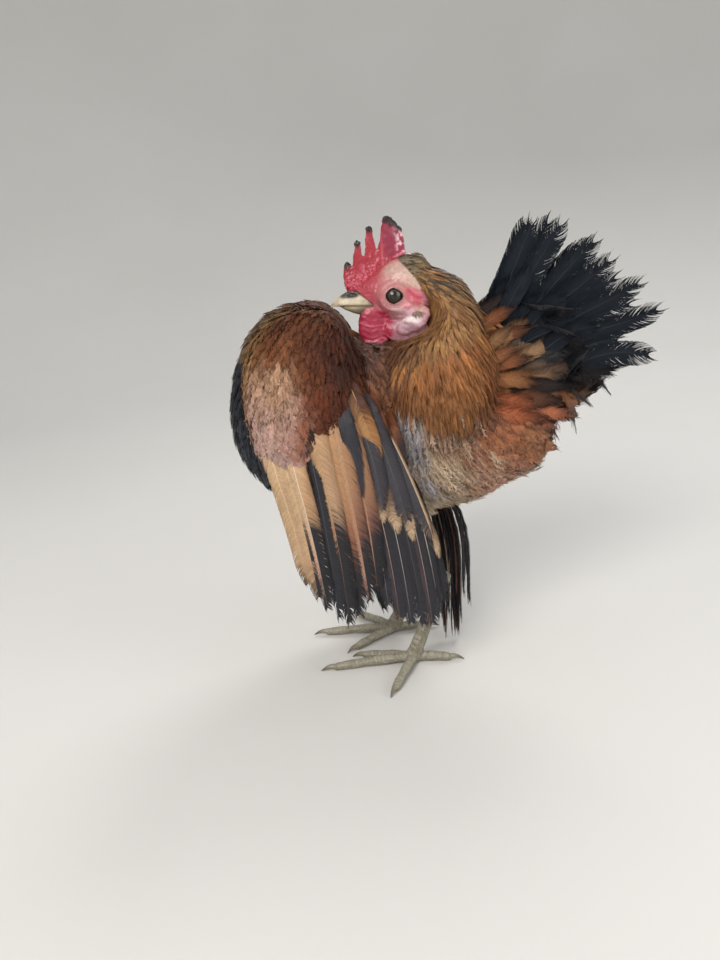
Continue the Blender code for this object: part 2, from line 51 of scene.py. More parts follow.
# A serama cockerel. Lengths are millimetres in the bird's own frame: beak towards -X, left side
# towards -Y, floor at z 0. The frame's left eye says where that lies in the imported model.
mm = 0.001
leftEye = np.array((23.4, -8.3, 185.4))
eyeLow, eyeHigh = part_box("eye_left")
birdOrigin = np.array((eyeLow + eyeHigh) / 2) - leftEye * mm
sides = (("left", -1), ("right", 1))


def say(text):
    print(f"{time.time() - startedAt:6.1f} s  {text}")


def linear(hexText):
    value = np.array([int(hexText[i:i + 2], 16) / 255 for i in (1, 3, 5)])
    return np.where(value <= 0.04045, value / 12.92, ((value + 0.055) / 1.055) ** 2.4)


def shades(*hexTexts):
    return np.array([linear(text) for text in hexTexts])


def smoothStep(low, high, value):
    share = np.clip((value - low) / (high - low), 0, 1)
    return share * share * (3 - 2 * share)


def unit(vectors):
    return vectors / np.maximum(np.linalg.norm(vectors, axis=-1, keepdims=True), 1e-9)


def blend(first, second, share):
    return first + (second - first) * share[..., None]


def tint(colours, hexText, share):
    return blend(colours, linear(hexText), share)


def evenly(hexText, points):
    return np.broadcast_to(linear(hexText), points.shape)


# Smooth random field from -1 to 1, with lumps about size across
def valueNoise(points, size, seed):
    cell = points / size + seed * 7.31
    base = np.floor(cell).astype(np.int64)
    part = cell - base
    part = part * part * (3 - 2 * part)
    total = np.zeros(points.shape[:-1])
    for corner in itertools.product((0, 1), repeat=3):
        key = base + np.array(corner)
        mixed = key[..., 0] * 73856093 ^ key[..., 1] * 19349663 ^ key[..., 2] * 83492791 ^ seed * 9176
        mixed = (mixed ^ (mixed >> 13)) * 1274126177
        value = ((mixed >> 8) & 0xFFFF) / 32767.5 - 1
        weight = np.prod(np.where(np.array(corner) == 1, part, 1 - part), axis=-1)
        total += weight * value
    return total


# Distance to the nearest of scattered dots, 0 at a dot and about 1 between them
def cellNoise(points, size, seed):
    cell = points / size
    base = np.floor(cell).astype(np.int64)
    nearest = np.full(points.shape[:-1], 9.0)
    for corner in itertools.product((-1, 0, 1), repeat=3):
        key = base + np.array(corner)
        dot = key.astype(float)
        for axis in range(3):
            mixed = key[..., 0] * 73856093 ^ key[..., 1] * 19349663 ^ key[..., 2] * 83492791
            mixed = (mixed ^ (seed * 31 + axis * 977)) * 1274126177
            dot[..., axis] += ((mixed >> 9) & 0xFFFF) / 65535
        nearest = np.minimum(nearest, np.linalg.norm(cell - dot, axis=-1))
    return nearest


# A node's own surface in bird millimetres, with split corners merged
def nodeSurface(name):
    bm = bmesh.new()
    bm.from_mesh(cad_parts[name].data)
    bmesh.ops.remove_doubles(bm, verts=bm.verts, dist=0.000002)
    bmesh.ops.triangulate(bm, faces=bm.faces)
    bm.verts.index_update()
    points = (np.array([v.co for v in bm.verts]) - birdOrigin) / mm
    corners = np.array([[v.index for v in f.verts] for f in bm.faces])
    bm.free()
    return points, corners


def plainMesh(name, points, corners):
    mesh = bpy.data.meshes.new(name)
    mesh.vertices.add(len(points))
    mesh.vertices.foreach_set("co", np.asarray(points, np.float32).ravel())
    mesh.loops.add(len(corners) * 3)
    mesh.loops.foreach_set("vertex_index", np.asarray(corners, np.int32).ravel())
    mesh.polygons.add(len(corners))
    mesh.polygons.foreach_set("loop_start", np.arange(0, len(corners) * 3, 3, dtype=np.int32))
    mesh.update(calc_edges=True)
    return mesh


def scratchObject(name, points, corners):
    obj = bpy.data.objects.new(name, plainMesh(name, points, corners))
    bpy.context.scene.collection.objects.link(obj)
    return obj


def readMesh(mesh):
    points = np.empty(len(mesh.vertices) * 3, np.float32)
    mesh.vertices.foreach_get("co", points)
    mesh.calc_loop_triangles()
    corners = np.empty(len(mesh.loop_triangles) * 3, np.int32)
    mesh.loop_triangles.foreach_get("vertices", corners)
    return points.reshape(-1, 3).astype(float), corners.reshape(-1, 3)


# The surface that an object's modifiers give; the object itself goes
def evaluated(obj, *others):
    bpy.context.view_layer.update()
    graph = bpy.context.evaluated_depsgraph_get()
    mesh = bpy.data.meshes.new_from_object(obj.evaluated_get(graph))
    found = readMesh(mesh)
    bpy.data.meshes.remove(mesh)
    for used in (obj, *others):
        bpy.data.objects.remove(used)
    return found


def faceNormals(points, corners):
    a, b, c = (points[corners[:, k]] for k in range(3))
    return np.cross(b - a, c - a)


def vertexNormals(points, corners):
    face = faceNormals(points, corners)
    normals = np.zeros_like(points)
    for k in range(3):
        for axis in range(3):
            normals[:, axis] += np.bincount(corners[:, k], face[:, axis], len(points))
    return unit(normals)


# Each value becomes the mean of its neighbours' values, rounds times
def relax(values, corners, rounds, share=0.5):
    count = len(values)
    first = np.concatenate((corners[:, 0], corners[:, 1], corners[:, 2]))
    second = np.concatenate((corners[:, 1], corners[:, 2], corners[:, 0]))
    degree = np.maximum(np.bincount(first, minlength=count), 1)
    flat = values.reshape(count, -1).copy()
    for _ in range(rounds):
        mean = np.stack([np.bincount(first, flat[second, k], count) for k in range(flat.shape[1])], 1)
        flat += (mean / degree[:, None] - flat) * share
    return flat.reshape(values.shape)


# One closed surface round several forms, each grown a little so that the gaps between them close
def fuse(parts, voxel, rounds, grow):
    points, corners, start = [], [], 0
    for partPoints, partCorners in parts:
        points.append(partPoints + vertexNormals(partPoints, partCorners) * grow)
        corners.append(partCorners + start)
        start += len(partPoints)
    obj = scratchObject("fused", np.concatenate(points), np.concatenate(corners))
    remesh = obj.modifiers.new("voxels", "REMESH")
    remesh.mode = "VOXEL"
    remesh.voxel_size = voxel
    fusedPoints, fusedCorners = evaluated(obj)
    return relax(fusedPoints, fusedCorners, rounds), fusedCorners


def combine(first, second, operation):
    obj, other = scratchObject("first", *first), scratchObject("second", *second)
    modifier = obj.modifiers.new("combine", "BOOLEAN")
    modifier.operation = operation
    modifier.solver = "MANIFOLD"
    modifier.object = other
    return evaluated(obj, other)


# A prism across the bird, from an outline of (x, z) points
def slab(outline, halfWidth):
    count = len(outline)
    points = np.array([(x, y, z) for y in (-halfWidth, halfWidth) for x, z in outline])
    bm = bmesh.new()
    verts = [bm.verts.new(p) for p in points]
    caps = [bm.faces.new(verts[:count]), bm.faces.new(verts[count:])]
    for k in range(count):
        n = (k + 1) % count
        bm.faces.new((verts[k], verts[n], verts[count + n], verts[count + k]))
    bmesh.ops.triangulate(bm, faces=caps)
    bmesh.ops.triangulate(bm, faces=bm.faces)
    bmesh.ops.recalc_face_normals(bm, faces=bm.faces)
    bm.verts.index_update()
    corners = np.array([[v.index for v in f.verts] for f in bm.faces])
    bm.free()
    return points, corners


# A closed tube of any section: rings is rows of points round, from one end to the other
def tubeOf(rings):
    count, around = rings.shape[:2]
    points = np.concatenate((rings.reshape(-1, 3), rings[0].mean(0)[None], rings[-1].mean(0)[None]))
    k = np.arange(around)
    n = (k + 1) % around
    corners = []
    for i in range(count - 1):
        a, b, c, d = i * around + k, i * around + n, (i + 1) * around + n, (i + 1) * around + k
        corners += [np.stack((a, b, c), 1), np.stack((a, c, d), 1)]
    last = (count - 1) * around
    corners.append(np.stack((n, k, np.full(around, count * around)), 1))
    corners.append(np.stack((last + k, last + n, np.full(around, count * around + 1)), 1))
    corners = np.concatenate(corners)
    fromMiddle = points[corners[:, 0]] - points.mean(0)
    if (fromMiddle * faceNormals(points, corners)).sum() < 0:
        corners = corners[:, ::-1]
    return points, corners


# A smooth line through a few points, with count points in all
def smoothLine(points, count):
    points = np.asarray(points, float)
    padded = np.concatenate((2 * points[:1] - points[1:2], points, 2 * points[-1:] - points[-2:-1]))
    place = np.linspace(0, len(points) - 1, count)
    i = np.minimum(place.astype(int), len(points) - 2)
    t = (place - i)[:, None]
    a, b, c, d = padded[i], padded[i + 1], padded[i + 2], padded[i + 3]
    return 0.5 * (2 * b + (c - a) * t + (2 * a - 5 * b + 4 * c - d) * t ** 2
                  + (3 * b - a - 3 * c + d) * t ** 3)


def limb(points, radii, around=14, steps=24, flatness=1.0, floor=None):
    line = smoothLine(points, steps)
    radius = np.interp(np.linspace(0, 1, steps), np.linspace(0, 1, len(radii)), radii)
    ahead = unit(np.gradient(line, axis=0))
    across = unit(np.cross((0, 0.001, 1), ahead))
    up = np.cross(ahead, across)
    turn = np.linspace(0, 2 * math.pi, around, endpoint=False)
    rings = line[:, None] + radius[:, None, None] * (
        across[:, None] * np.cos(turn)[None, :, None]
        + up[:, None] * np.sin(turn)[None, :, None] * flatness)
    if floor is not None:
        rings[..., 2] = np.maximum(rings[..., 2], floor)
    return tubeOf(rings)


# Materials

def addNode(tree, kind, values=None, links=None, **settings):
    node = tree.nodes.new(kind)
    for key, value in settings.items():
        setattr(node, key, value)
    for key, value in (values or {}).items():
        node.inputs[key].default_value = value
    for key, source in (links or {}).items():
        tree.links.new(source, node.inputs[key])
    return node


def rgba(hexText):
    return (*linear(hexText), 1.0)


def newMaterial(name, shine):
    material = bpy.data.materials.new(name)
    material.use_nodes = True
    tree = material.node_tree
    shader = tree.nodes["Principled BSDF"]
    for key, value in shine.items():
        shader.inputs[key].default_value = value
    return material, tree, shader


# Noise varies the painted colours, and a height raises a fine bump
def finishSurface(tree, shader, painted, noise, contrast, height, strength, depth):
    low, darkest, lightest = contrast
    share = addNode(tree, "ShaderNodeMapRange", {"From Min": low, "From Max": 1 - low,
                    "To Min": darkest, "To Max": lightest}, {"Value": noise})
    shade = addNode(tree, "ShaderNodeMix", {"Factor": 1.0}, {"A": painted, "B": share.outputs["Result"]},
                    data_type="RGBA", blend_type="MULTIPLY")
    bump = addNode(tree, "ShaderNodeBump", {"Strength": strength, "Distance": depth * mm},
                   {"Height": height})
    tree.links.new(shade.outputs["Result"], shader.inputs["Base Color"])
    tree.links.new(bump.outputs["Normal"], shader.inputs["Normal"])


# Every feather carries its own colour in the attribute "plume" and its place on the vane, in
# millimetres along and across, in the map "vane".
def featherMaterial(name, shine, barbPitch, barbDepth, mottle):
    material, tree, shader = newMaterial(name, shine)
    plume = addNode(tree, "ShaderNodeAttribute", attribute_name="plume")
    vane = addNode(tree, "ShaderNodeUVMap", uv_map="vane")
    # Barbs run out and forwards from the shaft, so their stripes lie along y + |x|
    split = addNode(tree, "ShaderNodeSeparateXYZ", links={"Vector": vane.outputs["UV"]})
    width = addNode(tree, "ShaderNodeMath", operation="ABSOLUTE", links={0: split.outputs["X"]})
    slant = addNode(tree, "ShaderNodeMath", {1: 1.1}, {0: width.outputs[0]}, operation="MULTIPLY")
    run = addNode(tree, "ShaderNodeMath", links={0: split.outputs["Y"], 1: slant.outputs[0]},
                  operation="SUBTRACT")
    wave = addNode(tree, "ShaderNodeMath", {1: 2 * math.pi / barbPitch}, {0: run.outputs[0]},
                   operation="MULTIPLY")
    barbs = addNode(tree, "ShaderNodeMath", links={0: wave.outputs[0]}, operation="SINE")
    blotch = addNode(tree, "ShaderNodeTexNoise", {"Scale": 1.4, "Detail": 4.0, "Roughness": 0.65},
                     {"Vector": vane.outputs["UV"]})
    finishSurface(tree, shader, plume.outputs["Color"], blotch.outputs["Fac"],
                  (0.25, 1 - mottle, 1 + mottle), barbs.outputs[0], 0.5, barbDepth)
    return material


# Barbs are about 0.2 mm apart on a small bird; they are drawn at 0.45 mm so that they show.
plumageLooks = {
    "barbPitch": 0.45,
    "barbDepth": 0.05,
}


def plumageMaterial(name, shine, mottle):
    return featherMaterial(name, shine, plumageLooks["barbPitch"], plumageLooks["barbDepth"], mottle)


# Keratin with loose barbules: dull, with a faint silky edge light
contourKeratin = plumageMaterial("contour_feather_keratin_matt", {
    "Roughness": 0.6, "Specular IOR Level": 0.15, "IOR": 1.55, "Sheen Weight": 0.02,
    "Sheen Roughness": 0.45}, 0.2)
# Narrow hackle vanes: hooked barbules lie flat and gleam like silk
hackleKeratin = plumageMaterial("hackle_feather_keratin_silky", {
    "Roughness": 0.48, "Specular IOR Level": 0.28, "IOR": 1.55, "Sheen Weight": 0.05,
    "Sheen Roughness": 0.35}, 0.18)
# Down: no hooks at all, so it scatters and never shines
downKeratin = plumageMaterial("down_keratin_loose", {
    "Roughness": 0.8, "Specular IOR Level": 0.15, "IOR": 1.55, "Sheen Weight": 0.18,
    "Sheen Roughness": 0.6}, 0.2)
# Stiff wing quills: tight vanes with a soft gloss
quillKeratin = plumageMaterial("flight_feather_keratin_tight", {
    "Roughness": 0.5, "Specular IOR Level": 0.3, "IOR": 1.55, "Sheen Weight": 0.05,
    "Sheen Roughness": 0.4}, 0.2)
# Melanin rich tail vanes: black with a slate blue gleam where the light grazes
blackKeratin = plumageMaterial("tail_feather_keratin_melanin", {
    "Roughness": 0.4, "Specular IOR Level": 0.24, "IOR": 1.56, "Specular Tint": (0.62, 0.76, 1.0, 1.0),
    "Sheen Weight": 0.0}, 0.2)


# Bare skin: the sculpted colours are in "plume"; the nodes add pores, blotches and moisture
def fleshMaterial(name, shine, poreSize, poreDepth, blotchSize, mottle):
    material, tree, shader = newMaterial(name, shine)
    paintLayer = addNode(tree, "ShaderNodeAttribute", attribute_name="plume")
    place = addNode(tree, "ShaderNodeTexCoord")
    blotch = addNode(tree, "ShaderNodeTexNoise", {"Scale": 1 / (blotchSize * mm), "Detail": 5.0,
                     "Roughness": 0.6}, {"Vector": place.outputs["Object"]})
    pores = addNode(tree, "ShaderNodeTexVoronoi", {"Scale": 1 / (poreSize * mm)},
                    {"Vector": place.outputs["Object"]}, feature="SMOOTH_F1")
    finishSurface(tree, shader, paintLayer.outputs["Color"], blotch.outputs["Fac"],
                  (0.3, 1 - mottle, 1 + mottle), pores.outputs["Distance"], 0.6, poreDepth)
    return material


# Comb, wattles, face and lobes: blood close under a thin, moist skin
bareSkin = fleshMaterial("bare_facial_skin", {
    "Roughness": 0.42, "Specular IOR Level": 0.5, "IOR": 1.4, "Subsurface Weight": 0.25,
    "Subsurface Radius": (1.0, 0.35, 0.2), "Subsurface Scale": 0.0012, "Coat Weight": 0.3,
    "Coat Roughness": 0.22}, 0.55, 0.12, 1.6, 0.16)
# Skin under the coat: dry, goose-fleshed where feathers root
coatedSkin = fleshMaterial("feathered_skin", {
    "Roughness": 0.7, "Specular IOR Level": 0.3, "IOR": 1.4}, 1.4, 0.25, 3.0, 0.2)
# Legs: horny scales, dusty
scaleKeratin = fleshMaterial("leg_scale_keratin", {
    "Roughness": 0.55, "Specular IOR Level": 0.4, "IOR": 1.54}, 0.5, 0.07, 1.2, 0.22)


# Bill and claws: layered horn with fine growth lines along it
def hornMaterial(name, shine, lineSize):
    material, tree, shader = newMaterial(name, shine)
    paintLayer = addNode(tree, "ShaderNodeAttribute", attribute_name="plume")
    place = addNode(tree, "ShaderNodeTexCoord")
    stretch = addNode(tree, "ShaderNodeMapping", {"Scale": (0.25, 1.0, 1.0)},
                      {"Vector": place.outputs["Object"]})
    lines = addNode(tree, "ShaderNodeTexNoise", {"Scale": 1 / (lineSize * mm), "Detail": 6.0,
                    "Roughness": 0.7}, {"Vector": stretch.outputs["Vector"]})
    finishSurface(tree, shader, paintLayer.outputs["Color"], lines.outputs["Fac"], (0.3, 0.8, 1.16),
                  lines.outputs["Fac"], 0.35, 0.06)
    return material


billHorn = hornMaterial("bill_horn", {
    "Roughness": 0.38, "Specular IOR Level": 0.5, "IOR": 1.54, "Subsurface Weight": 0.12,
    "Subsurface Radius": (1.0, 0.8, 0.5), "Subsurface Scale": 0.0008}, 0.5)
# Eyeball: painted iris under a wet, glassy cornea
eyeMaterial = hornMaterial("eye_wet_cornea", {
    "Roughness": 0.3, "Specular IOR Level": 0.5, "IOR": 1.38, "Coat Weight": 1.0,
    "Coat Roughness": 0.02, "Coat IOR": 1.4}, 0.3)


def pieceObject(name, points, corners, colours, materials, maps=None, slots=None):
    mesh = plainMesh(name, points * mm + birdOrigin, corners)
    attribute = mesh.color_attributes.new("plume", "FLOAT_COLOR", "POINT")
    full = np.concatenate((np.clip(colours, 0, 1), np.ones((len(colours), 1))), 1)
    attribute.data.foreach_set("color", full.astype(np.float32).ravel())
    for mapName, place in (maps or {}).items():
        layer = mesh.uv_layers.new(name=mapName)
        layer.data.foreach_set("uv", place[corners.ravel()].astype(np.float32).ravel())
    for material in materials:
        mesh.materials.append(material)
    if slots is not None:
        mesh.polygons.foreach_set("material_index", slots.astype(np.int32))
    mesh.shade_smooth()
    obj = bpy.data.objects.new(name, mesh)
    bpy.context.scene.collection.objects.link(obj)
    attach(obj, "root")
    return obj


# Colours over the bird. A spot is a soft ellipse seen from the side: x, z, half length, half
# height, turn in degrees, colour and softness. Later spots lie over earlier ones.

def paint(points, colours, spots, wander=0.0, seed=3):
    x, z = points[..., 0].copy(), points[..., 2].copy()
    if wander:
        x += valueNoise(points, 7, seed) * wander
        z += valueNoise(points, 7, seed + 1) * wander
    for spotX, spotZ, length, height, turn, colour, softness in spots:
        c, s = math.cos(math.radians(turn)), math.sin(math.radians(turn))
        a = ((x - spotX) * c + (z - spotZ) * s) / length
        b = (-(x - spotX) * s + (z - spotZ) * c) / height
        share = 1 - smoothStep(1 - softness, 1 + softness, np.hypot(a, b))
        colours = tint(colours, colour, share)
    return colours


# Ground colours are mixed by noise; spots come from the left side of the bird in the photo
wingPaint = {
    "ground": ("#5A311C", "#683C22", "#3E1E13"),
    "spots": ((-20, 192, 34, 6, 2, "#64482C", 0.6), (-42, 178, 7, 20, -28, "#765A3A", 0.55),
              (-30, 184, 14, 3, 22, "#846A46", 0.7), (-45, 158, 5, 16, 0, "#8C6A46", 0.6),
              (-22, 172, 9, 9, 0, "#623823", 0.7), (-30, 166, 8, 7, -10, "#744629", 0.8),
              (0, 158, 9, 22, 0, "#341813", 0.6), (-9, 168, 9, 8, 20, "#432015", 0.8),
              (-12, 142, 7, 13, 8, "#60301C", 0.7), (-6, 136, 7, 10, 0, "#3E1C13", 0.7),
              (-33.5, 137, 13.5, 22, 5, "#B18E7E", 0.28), (-33, 154, 8, 8, 0, "#B08B6E", 0.6),
              (-41, 128, 6, 12, -8, "#B9988C", 0.6), (-27, 126, 7, 10, 0, "#A98377", 0.7),
              (-22, 134, 3.5, 15, -8, "#8A5843", 0.7), (-36, 119, 10, 4, 0, "#B2938A", 0.6),
              # The spots at x 6 and 14 are darkened as painted shade where the hackle's front edge meets
              # the wing
              (-18.5, 130, 2.2, 6, -10, "#241D20", 0.6), (6, 142, 6, 9, 0, "#5C3320", 0.7),
              (14, 136, 6, 7, 0, "#6E4127", 0.7)),
}
plumage = {
    "head": {"ground": ("#8E7A5C", "#7A6446", "#A08A63"),
             "spots": ((28, 200, 8, 6, -50, "#8C8270", 0.5), (35, 195, 8, 4, -55, "#8A7860", 0.6),
                       (46, 186, 12, 7, -45, "#947246", 0.5))},
    # On the neck and the cape the dark spots at x 8 to 16 are rufous plumage darkened with painted shade
    # where the hackle's front edge meets the wing
    "neck": {"ground": ("#A27448", "#8E623C", "#B48650"),
             "spots": ((58, 182, 14, 8, -50, "#8F6C46", 0.6), (16, 158, 14, 8, 0, "#5E3822", 0.6))},
    "cape": {"ground": ("#A36838", "#B4793F", "#84522C"),
             "spots": ((8, 148, 9, 18, 0, "#5A301E", 0.7), (14, 140, 8, 6, 0, "#6E4024", 0.7),
                       (66, 140, 12, 14, 0, "#9A5E34", 0.7), (36, 134, 26, 6, 0, "#8E5A2E", 0.6))},
    "breast": {"ground": ("#1E1E21", "#17171A", "#282A30"),
               "spots": ((-22, 188, 34, 12, 4, "#735636", 0.5), (-48, 172, 8, 9, -40, "#7C6242", 0.5),
                         (-12, 178, 14, 14, 0, "#6B3D24", 0.5))},
    "shoulder": wingPaint,
    "coverts": wingPaint,
    # The dark spot at x 14 is painted shade where the hackle's front edge meets the wing
    "back": {"ground": ("#8E5836", "#A26C46", "#6C4028"),
             "spots": ((14, 156, 17, 14, 0, "#4C2B1C", 0.6), (60, 124, 9, 6, -20, "#5E3421", 0.7),
                       (54, 112, 7, 12, -20, "#8E5636", 0.7),
                       (72, 122, 10, 6, 0, "#9E6040", 0.6), (72, 96, 7, 12, 20, "#B27A60", 0.6),
                       (60, 96, 7, 10, 0, "#A87C5E", 0.7))},
    "belly": {"ground": ("#BA9874", "#C8AA86", "#A08060"),
              "spots": ((17, 128, 9, 9, -25, "#8F8C92", 0.7), (26, 116, 9, 7, -35, "#9C979A", 0.7),
                        (44, 124, 11, 4, -10, "#7E4B30", 0.7), (40, 114, 9, 4, -30, "#A77B52", 0.7),
                        (42, 104, 13, 5, -35, "#CDB392", 0.6), (30, 98, 9, 5, -30, "#A09A9E", 0.7),
                        (38, 86, 14, 7, -25, "#BFA98A", 0.7), (56, 112, 6, 8, -10, "#9C6242", 0.7),
                        (58, 96, 6, 10, -10, "#BE8A68", 0.6),
                        (70, 92, 9, 9, 0, "#BE8767", 0.6), (84, 98, 8, 8, 0, "#8A8068", 0.6),
                        (6, 96, 12, 22, 0, "#4A3F3B", 0.6))},
    "tailCoverts": {"ground": ("#8A5836", "#9A7046", "#7A4A30"),
                    "spots": ((90, 184, 34, 15, 30, "#17181B", 0.3), (118, 168, 20, 10, 0, "#1B1C20", 0.4),
                              (80, 160, 12, 4, 22, "#8E6A48", 0.7), (86, 150, 14, 4, 14, "#3A2E28", 0.6),
                              (80, 146, 12, 4, 6, "#8C6442", 0.7), (108, 138, 18, 6, 0, "#2A2624", 0.6),
                              (88, 134, 14, 5, -8, "#8E5C3C", 0.7), (96, 122, 12, 7, -24, "#9A5A3C", 0.6),
                              (106, 160, 24, 24, 0, "#1B1A1D", 0.3))},
    "undertail": {"ground": ("#77705E", "#8A7C62", "#625C4E"),
                  "spots": ((82, 126, 12, 8, -20, "#A0603E", 0.6), (96, 120, 10, 6, -30, "#9A5C40", 0.6),
                            (90, 106, 9, 9, 0, "#6A6656", 0.6))},
    "thigh": {"ground": ("#A98F76", "#8C7A6C", "#B9A182"),
              "spots": ((30, 60, 12, 16, 0, "#6A5C52", 0.6),)},
}


def plumageColour(kind, points, seed=11):
    look = plumage[kind]
    first, second, third = shades(*look["ground"])
    long = points * (1.0, 1.0, 0.5)
    slow = smoothStep(-0.5, 0.5, valueNoise(long, 7, seed))
    quick = smoothStep(0.0, 0.6, valueNoise(long, 3.2, seed + 5))
    colours = blend(blend(np.broadcast_to(first, points.shape), second, slow), third, quick)
    return paint(points, colours, look["spots"], wander=2.2)


# Kind of plumage over each flesh node
kindOfNode = {"head": "head", "neck": "neck", "hackle_cape": "cape", "breast": "breast",
              "back": "back", "belly": "belly", "tail_coverts": "tailCoverts",
              "undertail_coverts": "undertail"}
for label, _ in sides:
    kindOfNode[f"wing_{label}_shoulder"] = "shoulder"
    kindOfNode[f"wing_{label}_coverts"] = "coverts"
    kindOfNode[f"thigh_{label}"] = "thigh"
kinds = sorted(set(kindOfNode.values()))

# How deep the skin lies under the tips of the feathers
coatDepth = {"head": 0.9, "neck": 2.0, "cape": 3.2, "breast": 2.8, "back": 3.2, "belly": 3.4,
             "tailCoverts": 4.6, "undertail": 7.0, "shoulder": 2.8, "coverts": 2.8, "thigh": 2.4}

say("reading the frame's forms")
nodeForms = {name: nodeSurface(name) for name in kindOfNode}
formPoints, formCorners, formKind = [], [], []
start = 0
for name, (points, corners) in nodeForms.items():
    formPoints.append(points)
    formCorners.append(corners + start)
    formKind += [kinds.index(kindOfNode[name])] * len(corners)
    start += len(points)
formTree = BVHTree.FromPolygons(np.concatenate(formPoints).tolist(), np.concatenate(formCorners).tolist())
formKind = np.array(formKind)


def kindsAt(points):
    found = np.array([formKind[formTree.find_nearest(p)[2]] for p in points.tolist()])
    under = (capeHem(points) < 7) & np.isin(found, [kinds.index("cape"), kinds.index("neck")])
    lower = np.where(points[:, 0] < 54, kinds.index("belly"), kinds.index("back"))
    found = np.where(under, lower, found)
    flank = (found == kinds.index("back")) & (points[:, 0] < 57) & (points[:, 0] > 8) & (points[:, 2] < 118)
    return np.where(flank, kinds.index("belly"), found)


# The hackle's lower edge, as (x, z) points, and how far above it a place lies (99 elsewhere)
hemLine = ((4, 141), (10, 139.6), (18.7, 139), (24, 135), (33.8, 127.3), (46.7, 128.2), (59.9, 133),
           (68.4, 141),
           (78, 150))


def capeHem(points):
    x, y, z = points.T
    edge = np.interp(x, [p[0] for p in hemLine], [p[1] for p in hemLine])
    return np.where((x > 2) & (x < 76) & (np.abs(y) < 41), z - edge, 99.0)


# The lower edge of the small wing feathers; the quills come out from under it
wingHem = ((-60, 108), (-46, 113), (-38, 116), (-30, 117.5), (-23.5, 120), (-20, 128), (-16, 134),
           (-8, 132.5),
           (-3, 139), (2, 146), (8, 140), (14, 132), (22, 128), (34, 122))


def aboveWingHem(points):
    x, y, z = points.T
    edge = np.interp(x, [p[0] for p in wingHem], [p[1] for p in wingHem])
    return z - edge


# The comb: three fingers and a broad rear blade, as an outline of (x, z) points
comb = {
    "outline": ((30.2, 197.0), (20.0, 193.0), (8.0, 188.0), (3.4, 187.6), (2.2, 191.5), (1.7, 196.5),
                (2.4, 200.6), (3.8, 201.9), (5.0, 200.0), (6.3, 200.6), (7.4, 206.0), (8.4, 210.6),
                (9.6, 210.2), (10.4, 205.4), (11.4, 203.2), (12.5, 206.5), (13.9, 215.0), (15.0, 216.8),
                (16.2, 215.2), (17.0, 208.8), (18.2, 206.0), (19.4, 208.6), (20.6, 215.5), (21.8, 219.4),
                (23.6, 220.4), (26.2, 218.4), (28.9, 215.6), (30.6, 210.5), (31.0, 204.0)),
    "halfThick": 1.35,
    "base": ((3.6, 189.6), (10.0, 191.6), (20.0, 196.0), (29.0, 199.6)),
    "baseRadius": (2.5, 3.2, 3.0, 2.3),
    "tipColour": "#1C1113", "tipDepth": 3.1,
}
# Where the head's skin ends at the bill, an outline of (x, z) points that is cut away
billOpening = ((14.6, 181.7), (4.2, 191.6), (-20, 192), (-20, 172), (6.6, 174.2))
face = {
    "voxel": 0.39,
    "combColour": "#9E2A38",
    "wattleColour": "#A02842",
    "lobeColour": "#C9A2AC",
    "skinColour": "#BA7072",
    # Soft ellipses over the bare face, as on the plumage
    "spots": ((14, 187, 9, 8, 0, "#B04753", 0.6), (12, 181, 5, 7, 0, "#B24D5C", 0.6),
              (26, 195, 8, 5.5, -25, "#BC9C8F", 0.5), (30.5, 190, 4.5, 6.5, 25, "#BFA294", 0.5),
              (23, 187, 6.5, 7.0, 0, "#B97B7A", 0.6), (20.5, 177, 6.5, 6, 0, "#B07A7C", 0.6),
              (27, 178, 5, 5, 0, "#B98E8E", 0.6), (34.5, 183.6, 7.0, 2.6, -16, "#BE4F5E", 0.6),
              (31.0, 187.0, 3.0, 1.6, -24, "#C4616F", 0.7), (39.5, 179, 3.0, 6, 20, "#C98A8D", 0.6),
              (30, 180.5, 5.5, 2.2, -18, "#C0797E", 0.6), (28, 167.5, 10, 4.5, 12, "#B98893", 0.5),
              (22, 171, 4, 5, 0, "#A8707A", 0.6), (33.4, 178.2, 3.8, 2.0, 10, "#A98672", 0.9)),
    "cheek": ((18.5, 8.4, 171.0), (24, 9.4, 168.9), (31, 9.9, 169.0), (37.5, 10.0, 172.2)),
    "cheekRadius": (1.9, 2.75, 2.9, 2.1),
    "lidScale": 1.13,
    "lidColour": "#A37A74",
    "lidEdge": "#4A3634",
}
eye = {"radius": 4.9, "middle": np.array((23.4, 8.1, 185.4)), "bulge": 0.28, "pupil": 1.95, "iris": 3.3}


def closedLine(outline, count):
    points = np.asarray(outline, float)
    looped = np.concatenate((points[-2:], points, points[:3]))
    full = smoothLine(looped, (len(looped) - 1) * count + 1)
    return full[2 * count:(2 + len(points)) * count]


